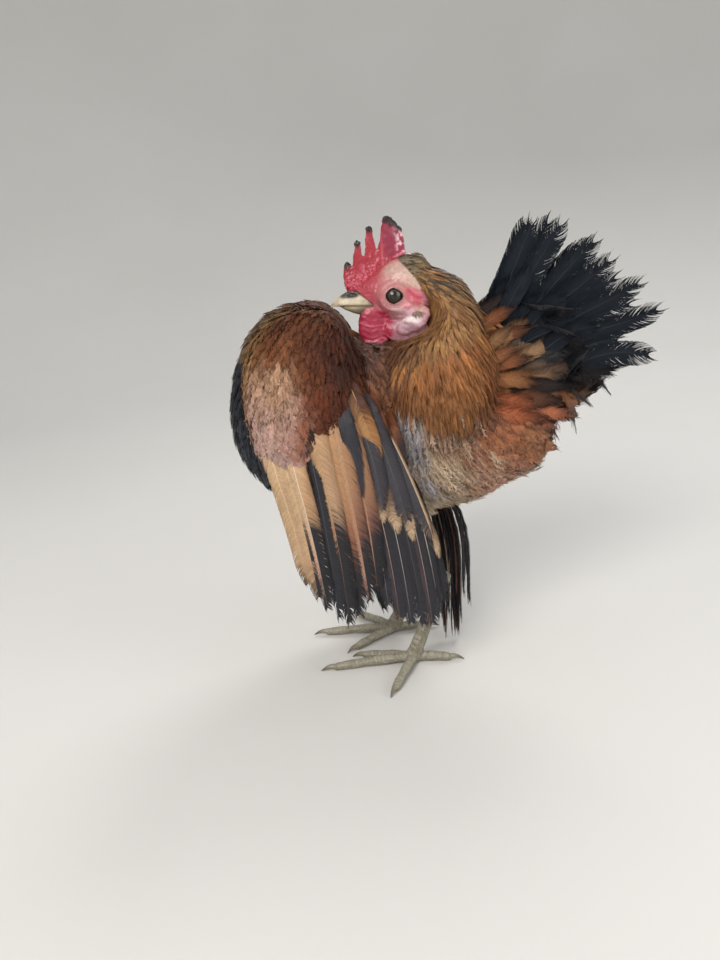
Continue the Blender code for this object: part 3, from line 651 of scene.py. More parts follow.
def sculptHead():
    outline = closedLine([(x, 0, z) for x, z in comb["outline"]], 4)[:, (0, 2)]
    blade = slab([tuple(p) for p in outline], comb["halfThick"])
    root = limb([(x, 0, z) for x, z in comb["base"]], comb["baseRadius"], around=12, steps=14)
    skull = nodeSurface("head")
    skull = (skull[0] + vertexNormals(*skull) * 0.2, skull[1])
    skull = fuse([skull], 0.8, 3, 0.25)
    skull = combine(skull, slab(billOpening, 20), "DIFFERENCE")
    soft = [nodeSurface(f"{part}_{label}") for part in ("wattle", "ear_lobe") for label, _ in sides]
    # The cheek's skin hangs down to the wattle and the lobe
    for _, side in sides:
        cheekLine = [(x, side * y, z) for x, y, z in face["cheek"]]
        soft.append(limb(cheekLine, face["cheekRadius"], around=16, steps=20, flatness=1.75))
    points, corners = fuse([skull, blade, root, *soft], face["voxel"], 5, 0.15)
    x, y, z = points.T.copy()
    # The cheek runs into the lobe without a crease
    cheekShare = smoothStep(20, 24, x) * smoothStep(162, 165, z) * smoothStep(180, 176, z) * (np.abs(y) > 5)
    points = blend(points, relax(points, corners, 22), cheekShare)
    x, y, z = points.T.copy()
    side = np.sign(y)

    # The comb's outline wanders a little, its points lean and thin out
    combBase = np.interp(x, [p[0] for p in comb["base"]], [p[1] for p in comb["base"]])
    above = z - combBase
    inComb = smoothStep(0.5, 3.0, above) * smoothStep(5.5, 3.6, np.abs(y))
    points[:, 1] *= 1 - inComb * 0.4 * smoothStep(3, 17, above)
    bend = inComb * smoothStep(5, 18, above)
    points[:, 0] += inComb * valueNoise(np.stack((x, x * 0, z), 1), 3.2, 91) * 0.5
    points[:, 2] += inComb * valueNoise(np.stack((x, x * 0, z), 1), 3.0, 92) * 0.35
    points[:, 1] += bend * (1.1 * np.sin(x * 0.45 + 0.6) - 0.3)

    # The skin narrows to the bill
    ahead = np.minimum((x - 4.2) * 0.69 + (z - 191.6) * 0.72, 99)
    nearBill = smoothStep(5.5, 0.0, ahead) * smoothStep(4.5, 2.0, above)
    points[:, 1] *= 1 - 0.16 * nearBill

    # Lids round each eye: rim, groove and a second fold
    turn = math.radians(-8)
    dx, dz = x - eye["middle"][0], z - eye["middle"][2]
    a = (dx * math.cos(turn) + dz * math.sin(turn)) / np.where(dx > 0, 1.14, 1.04)
    b = (-dx * math.sin(turn) + dz * math.cos(turn)) / np.where(dz > 0, 0.97, 1.0)
    r = np.hypot(a, b)
    # The two corners of the eye are drawn out a little
    r = r - 0.45 * smoothStep(0.8, 1.0, np.abs(a) / np.maximum(r, 0.01)) * smoothStep(5.5, 3.0, r)
    below = smoothStep(0.5, -0.6, b / np.maximum(r, 0.01))
    r = r * face["lidScale"] + 0.5 * valueNoise(points, 3.4, 17) * smoothStep(3.9, 5.5, r)
    wave = valueNoise(points, 2.2, 5) * 0.14
    stations = (0, 2.9, 3.4, 3.75, 4.3, 4.8, 5.5, 6.1, 6.8, 7.5, 9)
    plain = np.interp(r, stations, (8.6, 9.0, 12.0, 12.4, 12.4, 12.35, 12.3, 12.32, 12.35, 12.38, 12.4))
    folded = np.interp(r, stations, (8.6, 9.0, 12.0, 12.4, 12.4, 12.05, 12.2, 11.95, 12.3, 12.38, 12.4))
    # The folds are deeper below the eye
    target = plain + (folded - plain) * (0.25 + 0.75 * below) + wave
    weight = smoothStep(9.2, 6.2, r) * (np.abs(y) > 6)
    points[:, 1] = points[:, 1] * (1 - weight) + side * target * weight

    normals = vertexNormals(points, corners)
    lobeMiddle = np.array((31.5, 13.2, 173.2))
    inLobe = smoothStep(1.25, 0.75, np.hypot((x - lobeMiddle[0]) / 8.6, (z - lobeMiddle[2]) / 6.4))
    inLobe *= np.abs(y) > 10.5
    inWattle = smoothStep(1.15, 0.9, np.hypot((x - 13.6) / 8.4, (z - 171.6) / 9.6)) * (np.abs(y) > 3.6)
    inWattle *= smoothStep(182.0, 179.0, z)
    # Wattles: wrinkles run along the flap; the comb's foot and the lores carry papillae
    ripple = np.sin(2 * math.pi * (z + valueNoise(points, 5, 2) * 1.6 + 0.12 * (x - 13.6)) / 2.5)
    papillae = 1 - smoothStep(0.15, 0.75, cellNoise(points, 1.0, 4))
    fine = 1 - smoothStep(0.1, 0.8, cellNoise(points, 0.8, 9))
    combFoot = smoothStep(8.5, 3.0, above) * smoothStep(-3.5, 0.5, above) * smoothStep(4.6, 3.4, np.abs(y))
    lores = smoothStep(20, 14, x) * smoothStep(178, 182, z) * (1 - inWattle)
    cheek = (1 - inWattle) * (1 - inLobe) * (1 - inComb) * (r > 4.9)
    folds = np.sin(2 * math.pi * (x * 0.4 + z * 0.9 + valueNoise(points, 4, 8) * 1.4) / 3.1)
    gently = 0.5 + 0.5 * valueNoise(points, 4, 19)
    lift = inWattle * (0.15 * ripple * gently + 0.16 * valueNoise(points, 1.7, 6) + 0.06 * fine)
    lift += (combFoot * 0.26 + 0.2 * lores) * papillae * (0.6 + 0.6 * gently)
    lift += combFoot * 0.3 * valueNoise(points, 2.6, 14)
    lift += inComb * (0.07 * fine + 0.22 * valueNoise(points, 1.9, 7))
    lift += cheek * (0.09 * fine + 0.12 * valueNoise(points, 1.8, 12))
    lift += inLobe * (0.08 * folds + 0.2 * valueNoise(points, 2.0, 13) - 0.4)
    lift += cheek * 0.22 * folds * smoothStep(27, 33, x)
    # A hollow under the ear tuft
    lift -= 0.7 * smoothStep(1, 0, np.hypot((x - 34.4) / 3.4, (z - 178) / 1.7)) * (np.abs(y) > 9)
    points += normals * lift[:, None]

    # Colours
    colours = evenly(face["skinColour"], points)
    colours = paint(points, colours, face["spots"], wander=0.7)
    # On the comb's foot the raised papillae are painted pink as highlight
    redness = tint(evenly(face["combColour"], points), "#C9586B",
                   smoothStep(0.2, 0.9, papillae) * combFoot)
    rearBlade = smoothStep(19.5, 22.5, x + (z - 210) * 0.1) * smoothStep(2, 7, above)
    redness = tint(redness, "#8C2C42", rearBlade)
    # Pale pink streaks along the fingers are painted highlight
    ridge = smoothStep(0.35, 0.8, valueNoise(points * np.array((1.0, 0.3, 0.35)), 1.5, 21))
    redness = tint(redness, "#CF6F80", ridge * 0.55 * (1 - rearBlade))
    speckle = smoothStep(-0.35, 0.35, valueNoise(points, 0.9, 22)) * smoothStep(25.4, 28.8, x)
    redness = tint(redness, "#DFB4BC", speckle * rearBlade * smoothStep(219, 214, z))
    # Dark dry tips, measured down from the outline's peaks
    peaks = [(x1, z1) for x1, z1 in ((3.6, 201.9), (8.8, 211.0), (15.0, 217.0), (22.6, 220.6),
                                     (26.2, 218.8), (28.9, 216.4))]
    nearTip = np.min([np.hypot(x - px, (z - pz) * 0.8) for px, pz in peaks], axis=0)
    dryTip = smoothStep(comb["tipDepth"], 1.3, nearTip + valueNoise(points, 1.3, 23) * 0.9)
    points += normals * (dryTip * (0.35 + 0.4 * valueNoise(points, 0.9, 29)))[:, None]
    redness = tint(redness, comb["tipColour"], dryTip)
    # The comb's red runs out over the forehead, less towards the rear
    runOut = smoothStep(-7.0, 1.0, above + 1.6 * valueNoise(points, 2.5, 15)) * smoothStep(9.0, 3.0, above)
    runOut *= smoothStep(9.5, 3.4, np.abs(y) + valueNoise(points, 2.0, 16))
    runOut *= 0.3 + 0.7 * smoothStep(27, 13, x)
    combShare = np.maximum(inComb, np.maximum(runOut, combFoot * smoothStep(-3.0, 2.0, above)))
    colours = blend(colours, redness, combShare)
    # The wattle's wrinkles are painted pale on their crests as highlight and dark in their troughs as shade
    wattle = tint(evenly(face["wattleColour"], points), "#D7798C",
                  smoothStep(0.5, 1.0, ripple) * smoothStep(0.0, 0.7, valueNoise(points, 3, 24)) * 0.7)
    wattle = tint(wattle, "#8E1E36", smoothStep(-0.4, -1.0, ripple) * 0.45 * gently)
    # Pink along the wattle's lower edge and its top is painted highlight
    wattle = tint(wattle, "#DB7F92", smoothStep(166.6, 165.0, z + valueNoise(points, 3, 27)) * 0.8)
    wattle = tint(wattle, "#C96B78", smoothStep(177.5, 180.5, z) * 0.6)
    colours = blend(colours, wattle, inWattle)
    lobe = tint(evenly(face["lobeColour"], points), "#B48A9A",
                smoothStep(173.0, 168.5, z + valueNoise(points, 3, 25) * 1.5))
    # The pale patch in the lobe's upper part is painted highlight
    lobeHighlight = smoothStep(1.2, 0.5, np.hypot((x - 31.0) / 5.2, (z - 174.3 + 0.1 * (x - 31)) / 2.0)
                       + 0.35 * valueNoise(points, 1.6, 26))
    lobe = tint(lobe, "#E4D6D8", lobeHighlight)
    lobe = tint(lobe, "#C08089", smoothStep(35.5, 38.5, x) * 0.7)
    colours = blend(colours, lobe, inLobe ** 2)
    lid = smoothStep(5.6, 4.2, r) * (np.abs(y) > 6)
    colours = tint(colours, face["lidColour"], lid * 0.45)
    colours = tint(colours, face["lidEdge"], smoothStep(4.15, 3.55, r) * (np.abs(y) > 6))
    return points, corners, colours


# The bare face reaches back to this line of (z, x) points; feathers grow behind it
faceEdge = ((160, 12), (163, 20), (164.5, 27), (166.5, 33), (169, 37.6), (172, 40.2), (175, 41.8),
            (178, 42.8),
            (182, 41.6), (187, 36.4), (192.5, 33.6), (197, 30.0), (200, 27.6), (204, 25))


# How far behind the bare face a place lies; less than 0 on the face itself
def behindFace(points):
    x, y, z = points.T
    edge = np.interp(z, [p[0] for p in faceEdge], [p[1] for p in faceEdge])
    apart = np.where((x > -6) & (np.abs(y) < 26), x - edge, 99.0)
    return np.maximum(apart, (163.5 - z) * 1.5)


def isBare(points):
    x, y, z = points.T
    crownBare = (z > 199.0) & (np.abs(y) < 3.4) & (x < 33.5) & (x > -6)
    return (behindFace(points) < 0) | crownBare


# Legs and feet, from the frame's own solids
def longAxis(points):
    middle = points.mean(0)
    axis = np.linalg.svd(points - middle, full_matrices=False)[2][0]
    reach = (points - middle) @ axis
    return middle + axis * reach.min(), middle + axis * reach.max()


legs = {
    "voxel": 0.58,
    "toeRadius": (2.75, 2.35, 2.6, 2.1, 2.3, 1.8),
    "shankRadius": (3.2, 3.3, 3.1, 3.1, 3.3, 3.8),
    "colour": "#857F6D", "dust": "#9C9686", "dark": "#5F5B4C",
    "scutePitch": 2.7,
}


def footParts(label):
    foot = nodeSurface(f"shank_{label}")[0]
    low, high = longAxis(foot)
    hock, ankle = (high, low) if high[2] > low[2] else (low, high)
    ankle = ankle + np.array((0, 0, 1.2))
    toes = []
    for number in (1, 2, 3, 4):
        first, last = longAxis(nodeSurface(f"toe_{label}_{number}")[0])
        if np.linalg.norm(first[:2] - ankle[:2]) > np.linalg.norm(last[:2] - ankle[:2]):
            first, last = last, first
        toes.append((number, first, last))
    return hock, ankle, toes


def toeLine(first, last):
    first = np.array((first[0], first[1], 2.9))
    last = np.array((last[0], last[1], 1.9))
    middle = [first + (last - first) * t + np.array((0, 0, 0.5 * math.sin(math.pi * t)))
              for t in (0.25, 0.5, 0.75)]
    return [first, *middle, last]


def buildLegs():
    parts, lines = [], []
    for label, side in sides:
        hock, ankle, toes = footParts(label)
        up = hock + unit(hock - ankle) * 7
        shank = [up, hock, hock * 0.7 + ankle * 0.3, hock * 0.35 + ankle * 0.65, ankle]
        parts.append(limb(shank, legs["shankRadius"], around=18, steps=30))
        lines.append(("shank", label, hock, ankle))
        pad = np.array((ankle[0] - 0.5, ankle[1], 2.6))
        parts.append(limb([ankle + np.array((0, 0, 2.5)), ankle, pad], (3.6, 4.4, 4.0), around=16,
                          steps=8, floor=0.05))
        for number, first, last in toes:
            inner = pad + (first - pad) * 0.3
            line = toeLine(inner, last)
            parts.append(limb(line, legs["toeRadius"], around=14, steps=26, flatness=0.92, floor=0.05))
            lines.append((f"toe{number}", label, line[0], line[-1]))
    points, corners = fuse(parts, legs["voxel"], 4, 0.05)
    points[:, 2] = np.maximum(points[:, 2], 0.06)
    normals = vertexNormals(points, corners)
    knobs = 1 - smoothStep(0.1, 0.75, cellNoise(points, 1.15, 31))
    points += normals * (knobs * 0.13 * (normals[:, 2] < 0.5))[:, None]
    points[:, 2] = np.maximum(points[:, 2], 0.04)
    dusty = smoothStep(-0.3, 0.6, valueNoise(points, 4, 32))
    colours = tint(evenly(legs["colour"], points), legs["dust"], dusty)
    colours = tint(colours, legs["dark"], (1 - knobs) * 0.55)
    return points, corners, colours, lines


say("sculpting the head")
headPoints, headCorners, headColours = sculptHead()
say(f"head {len(headCorners)} triangles")
legPoints, legCorners, legColours, legLines = buildLegs()
say(f"legs {len(legCorners)} triangles")

# Trunk, neck and wing pads under the coat; the depths are added where feathers need more room
body = {"voxel": 1.7, "lastVoxel": 1.8, "bareDepth": 2.4, "hemDepth": 2.4, "tailRootDepth": 3.0,
        "fluffDepth": 4.5}
outerPoints, outerCorners = fuse([nodeForms[name] for name in kindOfNode], body["voxel"], 3, 0.3)
outerNormals = vertexNormals(outerPoints, outerCorners)
outerKinds = kindsAt(outerPoints)
depth = np.array([coatDepth[kinds[k]] for k in outerKinds])
depth = np.where(isBare(outerPoints), body["bareDepth"], depth)
# The thigh thins out over the hock
depth = np.where(outerPoints[:, 2] < 62, np.interp(outerPoints[:, 2], (40, 62), (0.9, 2.2)), depth)
depth += body["hemDepth"] * smoothStep(9, 1, capeHem(outerPoints))
# Room for the black tail feathers along the upper side of the tail's root
onTail = outerKinds == kinds.index("tailCoverts")
depth += body["tailRootDepth"] * onTail * smoothStep(156, 168, outerPoints[:, 2])
# The fluff under the belly is long, so the skin lies deeper there
underBelly = smoothStep(104, 88, outerPoints[:, 2]) * smoothStep(28, 40, outerPoints[:, 0])
depth += body["fluffDepth"] * underBelly
depth = relax(depth, outerCorners, 8)
bodyPoints = relax(outerPoints - outerNormals * depth[:, None], outerCorners, 4)
# The neck narrows to the head's own width at the edge of the bare face
apart = behindFace(bodyPoints)
limit = np.maximum(np.where(apart > 0, 11.6 + 1.7 * apart, 11.6 + 2.4 * apart), 3.0)
bodyPoints[:, 1] = np.clip(bodyPoints[:, 1], -limit, limit)
bodyPoints = relax(bodyPoints, outerCorners, 2)
bodyPoints, bodyCorners = fuse([(bodyPoints, outerCorners)], body["lastVoxel"], 1, 0.0)
say(f"body {len(bodyCorners)} triangles")

skinPoints, skinCorners = combine((bodyPoints, bodyCorners), (headPoints, headCorners), "UNION")
skinPoints, skinCorners = combine((skinPoints, skinCorners), (legPoints, legCorners), "UNION")
say(f"skin {len(skinCorners)} triangles")


# Colours of the joined skin: from the head and the legs where it is theirs, else from the plumage
def nearestIndex(points, source, reach):
    tree = KDTree(len(source))
    for i, p in enumerate(source.tolist()):
        tree.insert(p, i)
    tree.balance()
    found = [tree.find(p) for p in points.tolist()]
    return np.array([i if d < reach else -1 for _, i, d in found])


fromHead = nearestIndex(skinPoints, headPoints, 0.02)
fromLegs = nearestIndex(skinPoints, legPoints, 0.02)
skinKinds = kindsAt(skinPoints)
# Under the coat the skin takes the plumage's markings darkened to 0.6, painted shade for the gaps between
# feathers
skinColours = np.zeros_like(skinPoints)
for index, kind in enumerate(kinds):
    chosen = skinKinds == index
    skinColours[chosen] = plumageColour(kind, skinPoints[chosen]) * 0.6
# The wattles are bare to their tips, and the neck below them is feathered
onHead = fromHead >= 0
wattleReach = np.hypot((skinPoints[:, 0] - 13.6) / 9.4, (skinPoints[:, 2] - 171.6) / 10.8)
bareVertex = isBare(skinPoints) & (onHead | (skinPoints[:, 2] > 168.5)) | (onHead & (wattleReach < 1))
own = onHead & bareVertex
skinColours[own] = headColours[fromHead[own]]
skinColours[fromLegs >= 0] = legColours[fromLegs[fromLegs >= 0]]
zone = np.where(own, 1, np.where(fromLegs >= 0, 2, 0))
faceZone = zone[skinCorners].max(1)
skin = pieceObject("skin", skinPoints, skinCorners, skinColours, [coatedSkin, bareSkin, scaleKeratin],
                   slots=faceZone)
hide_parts(*kindOfNode, "comb", "wattle_left", "wattle_right", "ear_lobe_left", "ear_lobe_right",
            *[f"shank_{label}" for label, _ in sides],
            *[f"toe_{label}_{n}" for label, _ in sides for n in (1, 2, 3, 4)])
say("skin done")


# Eyes
def buildEye(label, side):
    around, rows = 64, 40
    polar = np.linspace(0.0005, math.pi * 0.62, rows)
    turn = np.linspace(0, 2 * math.pi, around, endpoint=False)
    r = np.sin(polar)[:, None] * eye["radius"] * np.ones(around)
    out = np.cos(polar)[:, None] * eye["radius"] + eye["bulge"] * np.exp(-(r / 2.7) ** 2)
    rings = np.stack((eye["middle"][0] + r * np.cos(turn), side * (eye["middle"][1] + out),
                      eye["middle"][2] + r * np.sin(turn)), -1)
    points, corners = tubeOf(rings)
    radius = np.append(r.ravel(), (0, 3))
    angle = np.append(np.broadcast_to(turn, r.shape).ravel(), (0, 0))
    streaks = valueNoise(np.stack((np.cos(angle) * 9, np.sin(angle) * 9, radius * 0.8), 1), 1.0, 41)
    colours = tint(evenly("#473A27", points), "#2A2217", smoothStep(-0.4, 0.6, streaks))
    colours = tint(colours, "#57482E", smoothStep(2.7, 2.1, radius) * 0.45)
    colours = tint(colours, "#1A1510", smoothStep(eye["iris"] - 1.0, eye["iris"], radius))
    colours = tint(colours, "#050404", smoothStep(eye["pupil"] + 0.14, eye["pupil"] - 0.06, radius))
    piece = pieceObject(f"eyeball_{label}", points, corners, colours, [eyeMaterial])
    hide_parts(f"eye_{label}")


for label, side in sides:
    buildEye(label, side)


# Bill: two horn sheaths that meet along the gape
bill = {
    "gape": np.array((14.6, 0.0, 181.55)), "tip": np.array((-5.9, 0.0, 183.3)),
    "upperDepth": 8.3, "upperHalf": 4.9, "lowerDepth": 5.6, "lowerHalf": 4.35,
    "cream": "#C9BB9D", "shade": "#AC9B80", "dark": "#3C3833", "lower": "#958B75",
}


def buildBill(upper):
    rows, around = 72, 56
    s = np.linspace(-0.12, 1.0, rows)
    axis = bill["tip"] - bill["gape"]
    reach = 1.0 if upper else 0.85
    share = np.interp(s, (-0.12, 0.1, 0.35, 0.6, 0.8, 0.92, 0.98, 1.0),
                      (1.0, 0.99, 0.9, 0.72, 0.49, 0.28, 0.14, 0.05))
    depthHere = (bill["upperDepth"] if upper else bill["lowerDepth"]) * share
    halfHere = (bill["upperHalf"] if upper else bill["lowerHalf"]) * share ** 0.92
    line = bill["gape"] + axis * (s * reach)[:, None]
    droop = -2.3 * np.clip(s - 0.62, 0, 1) ** 1.4 * 1.6 if upper else 0.9 * np.clip(s, 0, 1)
    turn = np.linspace(0, 2 * math.pi, around, endpoint=False)
    c, t = np.cos(turn), np.sin(turn)
    across = np.sign(c) * np.abs(c) ** 0.86
    # The cutting edge is nearly flat and the other side is arched, with a keel along the culmen
    arch = np.where(t > 0, np.abs(t) ** (0.95 if upper else 0.8), -0.1 * np.abs(t))
    sign = 1 if upper else -1
    rings = np.empty((rows, around, 3))
    rings[..., 0] = line[:, :1]
    rings[..., 1] = halfHere[:, None] * across * (1 - 0.22 * np.clip(arch, 0, 1))
    rings[..., 2] = (line[:, 2] + droop)[:, None] + sign * (0.1 + depthHere[:, None] * arch)
    points, corners = tubeOf(rings)
    x, y, z = points.T
    if upper:
        hollow = np.hypot((x - 4.6) / 3.0, (z - 187.0 + 0.06 * (x - 4.6)) / 1.05)
        dent = smoothStep(1.0, 0.45, hollow) * (np.abs(y) > 1.0)
        points[:, 1] -= np.sign(y) * dent * 0.95
        flap = smoothStep(0.9, 0.2, np.hypot((x - 5.0) / 2.6, (z - 188.3) / 0.75)) * (np.abs(y) > 1.0)
        points[:, 1] += np.sign(y) * flap * 0.3
    grain = valueNoise(points * np.array((0.3, 1, 1)), 0.9, 51)
    colours = blend(evenly(bill["cream" if upper else "lower"], points),
                    linear(bill["shade"]), smoothStep(-0.2, 0.7, grain))
    if upper:
        patch = smoothStep(1.3, 0.7, np.hypot((x - 4.2) / 5.0, (z - 187.6 - 0.1 * (x - 4.4)) / 1.9)
                           + grain * 0.22)
        colours = tint(colours, bill["dark"], patch * 0.95)
        # The nostril's hollow is painted near black as the shade of its opening
        colours = tint(colours, "#1A1715", dent * 0.9)
        culmen = smoothStep(0.7, 0.0, np.abs(y)) * smoothStep(-3, 2, x) * smoothStep(186, 188, z)
        colours = tint(colours, "#8F866F", culmen * 0.5)
    else:
        colours = tint(colours, "#C9BC9A", smoothStep(180.4, 181.6, z + 0.1 * x))
        colours = tint(colours, "#6E6A5C", smoothStep(4, 9, x) * 0.5)
    gape = smoothStep(0.55, 0.1, np.abs(z - 181.55 - 0.085 * (14.6 - x)))
    colours = tint(colours, "#6B5A4A", gape * 0.5)
    part = "upper" if upper else "lower"
    piece = pieceObject(f"bill_{part}", points, corners, colours, [billHorn])
    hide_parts(f"beak_{part}")


buildBill(True)
buildBill(False)

# Claws: curved, blunt with wear, darker towards the tip
claw = {"base": "#8B8470", "tip": "#5A5244", "radius": 1.45}


def buildClaw(label, number):
    first, last = longAxis(nodeSurface(f"claw_{label}_{number}")[0])
    toeFirst, toeLast = longAxis(nodeSurface(f"toe_{label}_{number}")[0])
    toeMiddle = (toeFirst + toeLast) / 2
    if np.linalg.norm(first - toeMiddle) > np.linalg.norm(last - toeMiddle):
        first, last = last, first
    line = [first + (last - first) * t + np.array((0, 0, 1.0 * math.sin(math.pi * t) - 0.25 * t))
            for t in (0, 0.33, 0.66, 1.0)]
    radii = (claw["radius"], claw["radius"] * 0.86, claw["radius"] * 0.55, 0.2)
    points, corners = limb(line, radii, around=18, steps=28, floor=0.03)
    along = (points - first) @ (last - first) / np.dot(last - first, last - first)
    colours = tint(evenly(claw["base"], points), claw["tip"], smoothStep(0.2, 0.95, along))
    piece = pieceObject(f"nail_{label}_{number}", points, corners, colours, [billHorn])
    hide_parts(f"claw_{label}_{number}")


for label, _ in sides:
    for number in (1, 2, 3, 4):
        buildClaw(label, number)


# Scutes: overlapping plates down the front of each shank and along the top of each toe
def buildScutes(label):
    rng = np.random.default_rng(61 if label == "left" else 62)
    allPoints, allCorners, allColours, allBake, allVane = [], [], [], [], []
    start = 0
    across, down = 9, 4
    for row, (part, which, first, last) in enumerate(legLines):
        if which != label:
            continue
        length = np.linalg.norm(last - first)
        isShank = part == "shank"
        pitch = legs["scutePitch"] * (1.0 if isShank else 0.72)
        count = int((length - (3 if isShank else 2.4)) / pitch)
        ahead = unit(last - first)
        top = np.array((-1.0, 0.0, 0.15)) if isShank else np.array((0.0, 0.0, 1.0))
        top = unit(top - ahead * (top @ ahead))
        sideways = np.cross(ahead, top)
        for k in range(count):
            place = (1.2 if isShank else 2.2) + pitch * k
            grid = np.linspace(-1, 1, across)
            rows = np.linspace(0, 1, down)
            angle = np.radians(78 if isShank else 70) * grid
            run = place + pitch * 1.32 * (rows[:, None] - 0.16 * grid ** 2 * rows[:, None])
            share = run / length
            if isShank:
                radius = np.interp(share, (0, 0.15, 0.5, 0.85, 1), (3.55, 3.3, 3.15, 3.4, 3.8))
                bow = 0
            else:
                radius = np.interp(share, np.linspace(0, 1, 6), legs["toeRadius"])
                bow = 0.5 * np.sin(math.pi * share)
            rise = 0.03 + 0.3 * rows[:, None] ** 1.5 * (1 - 0.5 * grid ** 4) + rng.uniform(0, 0.06)
            rise = np.where(rows[:, None] == 1, rise - 0.12, rise)
            reach = (radius + rise)[..., None]
            flat = 1.0 if isShank else 0.94
            spot = (first + ahead * run[..., None] + top * (reach * np.cos(angle)[:, None] * flat
                    + np.asarray(bow)[..., None] if not isShank else reach * np.cos(angle)[:, None])
                    + sideways * reach * np.sin(angle)[:, None])
            # A skirt under the free edge, sunk in the skin, closes the plate
            under = spot[-1] - (top * np.cos(angle)[:, None] + sideways * np.sin(angle)[:, None]) * 0.75
            grid3 = np.concatenate((spot, under[None]), 0)
            points = grid3.reshape(-1, 3)
            points[:, 2] = np.maximum(points[:, 2], 0.1)
            i, j = np.meshgrid(np.arange(down), np.arange(across - 1), indexing="ij")
            a = (i * across + j).ravel()
            corners = np.concatenate((np.stack((a, a + 1, a + across + 1), 1),
                                      np.stack((a, a + across + 1, a + across), 1)))
            tone = rng.uniform(-1, 1)
            base = blend(linear(legs["colour"])[None], linear(legs["dust"]), np.array([0.5 + 0.5 * tone]))
            shade = np.broadcast_to(base, points.shape).copy()
            # Each plate is lighter towards its free edge and darker at its root, and its skirt is dark
            edge = np.concatenate((rows, [1.2]))[:, None] * np.ones(across)
            shade = tint(shade, legs["dust"], smoothStep(0.55, 0.95, edge).ravel() * 0.6)
            shade = tint(shade, legs["dark"], smoothStep(0.35, 0.0, edge).ravel() * 0.8)
            shade = tint(shade, legs["dark"], smoothStep(1.05, 1.2, edge).ravel())
            allPoints.append(points)
            allCorners.append(corners + start)
            allColours.append(shade)
            uv = np.stack((np.tile(grid, down + 1), edge.ravel()), 1)
            centre = np.array((0.05 + 0.09 * (row % 5) + 0.02, 0.05 + 0.9 * place / length))
            allBake.append(centre + uv * 0.0015)
            allVane.append(uv * 2)
            start += len(points)
    corners = np.concatenate(allCorners)
    piece = pieceObject(f"leg_scutes_{label}", np.concatenate(allPoints), corners,
                        np.concatenate(allColours), [scaleKeratin],
                        {"vane": np.concatenate(allVane), "OFBake": np.concatenate(allBake)})


for label, _ in sides:
    buildScutes(label)
say("bill, eyes, claws and scutes done")


# Feathers. Every feather has a shaft and, on each side, a row of flat barbs that overlap.

def alongPath(values, u):
    count = values.shape[1]
    place = np.clip(u, 0, None) * (count - 1)
    i = np.minimum(place.astype(int), count - 2)
    part = (place - i)[..., None]
    rows = np.arange(len(values)).reshape(-1, *[1] * (u.ndim - 1))
    return values[rows, i] * (1 - part) + values[rows, i + 1] * part


def vaneWidth(u, look):
    rise = np.clip(u / look["rise"], 0, 1) ** 0.7
    fall = 1 - np.clip((u - look["fall"]) / (1.03 - look["fall"]), 0, 1) ** look["power"]
    return (0.12 + 0.88 * rise) * np.maximum(fall, 0.03)


# Colour along a vane from (place, colour) stops
def rampColour(stops, u):
    colours = shades(*[s[1] for s in stops])
    places = [s[0] for s in stops]
    return np.stack([np.interp(u, places, colours[:, k]) for k in range(3)], -1)


def tinted(u, v, rnd, tints, look):
    rest = [1] * (u.ndim - 1)
    if "ramps" in tints:
        lumps = np.stack((u * 7, v * 2, u * 0 + np.arange(len(u)).reshape(-1, *rest) * 5.7), -1)
        run = u + rnd * look["farJag"] + 0.06 * valueNoise(lumps, 1.0, 77)
        colours = np.stack([np.stack([rampColour(stops, run[i, j]) for j, stops in enumerate(pair)])
                            for i, pair in enumerate(tints["ramps"])])
        return colours * (1 + look["barbTone"] * rnd)[..., None]
    away, farAt, tipAt, rootAt = np.abs(v), look["farAt"], look["tipAt"], look["rootAt"]
    streak = smoothStep(look["streakWidth"], 0, away) * look["streakShare"]
    shares = {
        "far": smoothStep(farAt - look["farSoft"], farAt + look["farSoft"], u + rnd * look["farJag"]),
        "edge": smoothStep(1 - look["edgeWidth"], 1, away) * look["edgeShare"],
        "streak": streak * smoothStep(0.15, 0.45, u),
        "tip": smoothStep(tipAt - 0.05, tipAt + 0.07, u + rnd * 0.05) * look["tipShare"],
        "root": smoothStep(rootAt + 0.12, rootAt - 0.08, u),
    }
    colours = np.broadcast_to(tints["base"].reshape(len(u), *rest, 3), (*u.shape, 3))
    for key, share in shares.items():
        if key in tints:
            colours = blend(colours, tints[key].reshape(len(u), *rest, 3), share)
    return colours * (1 + look["barbTone"] * rnd)[..., None]


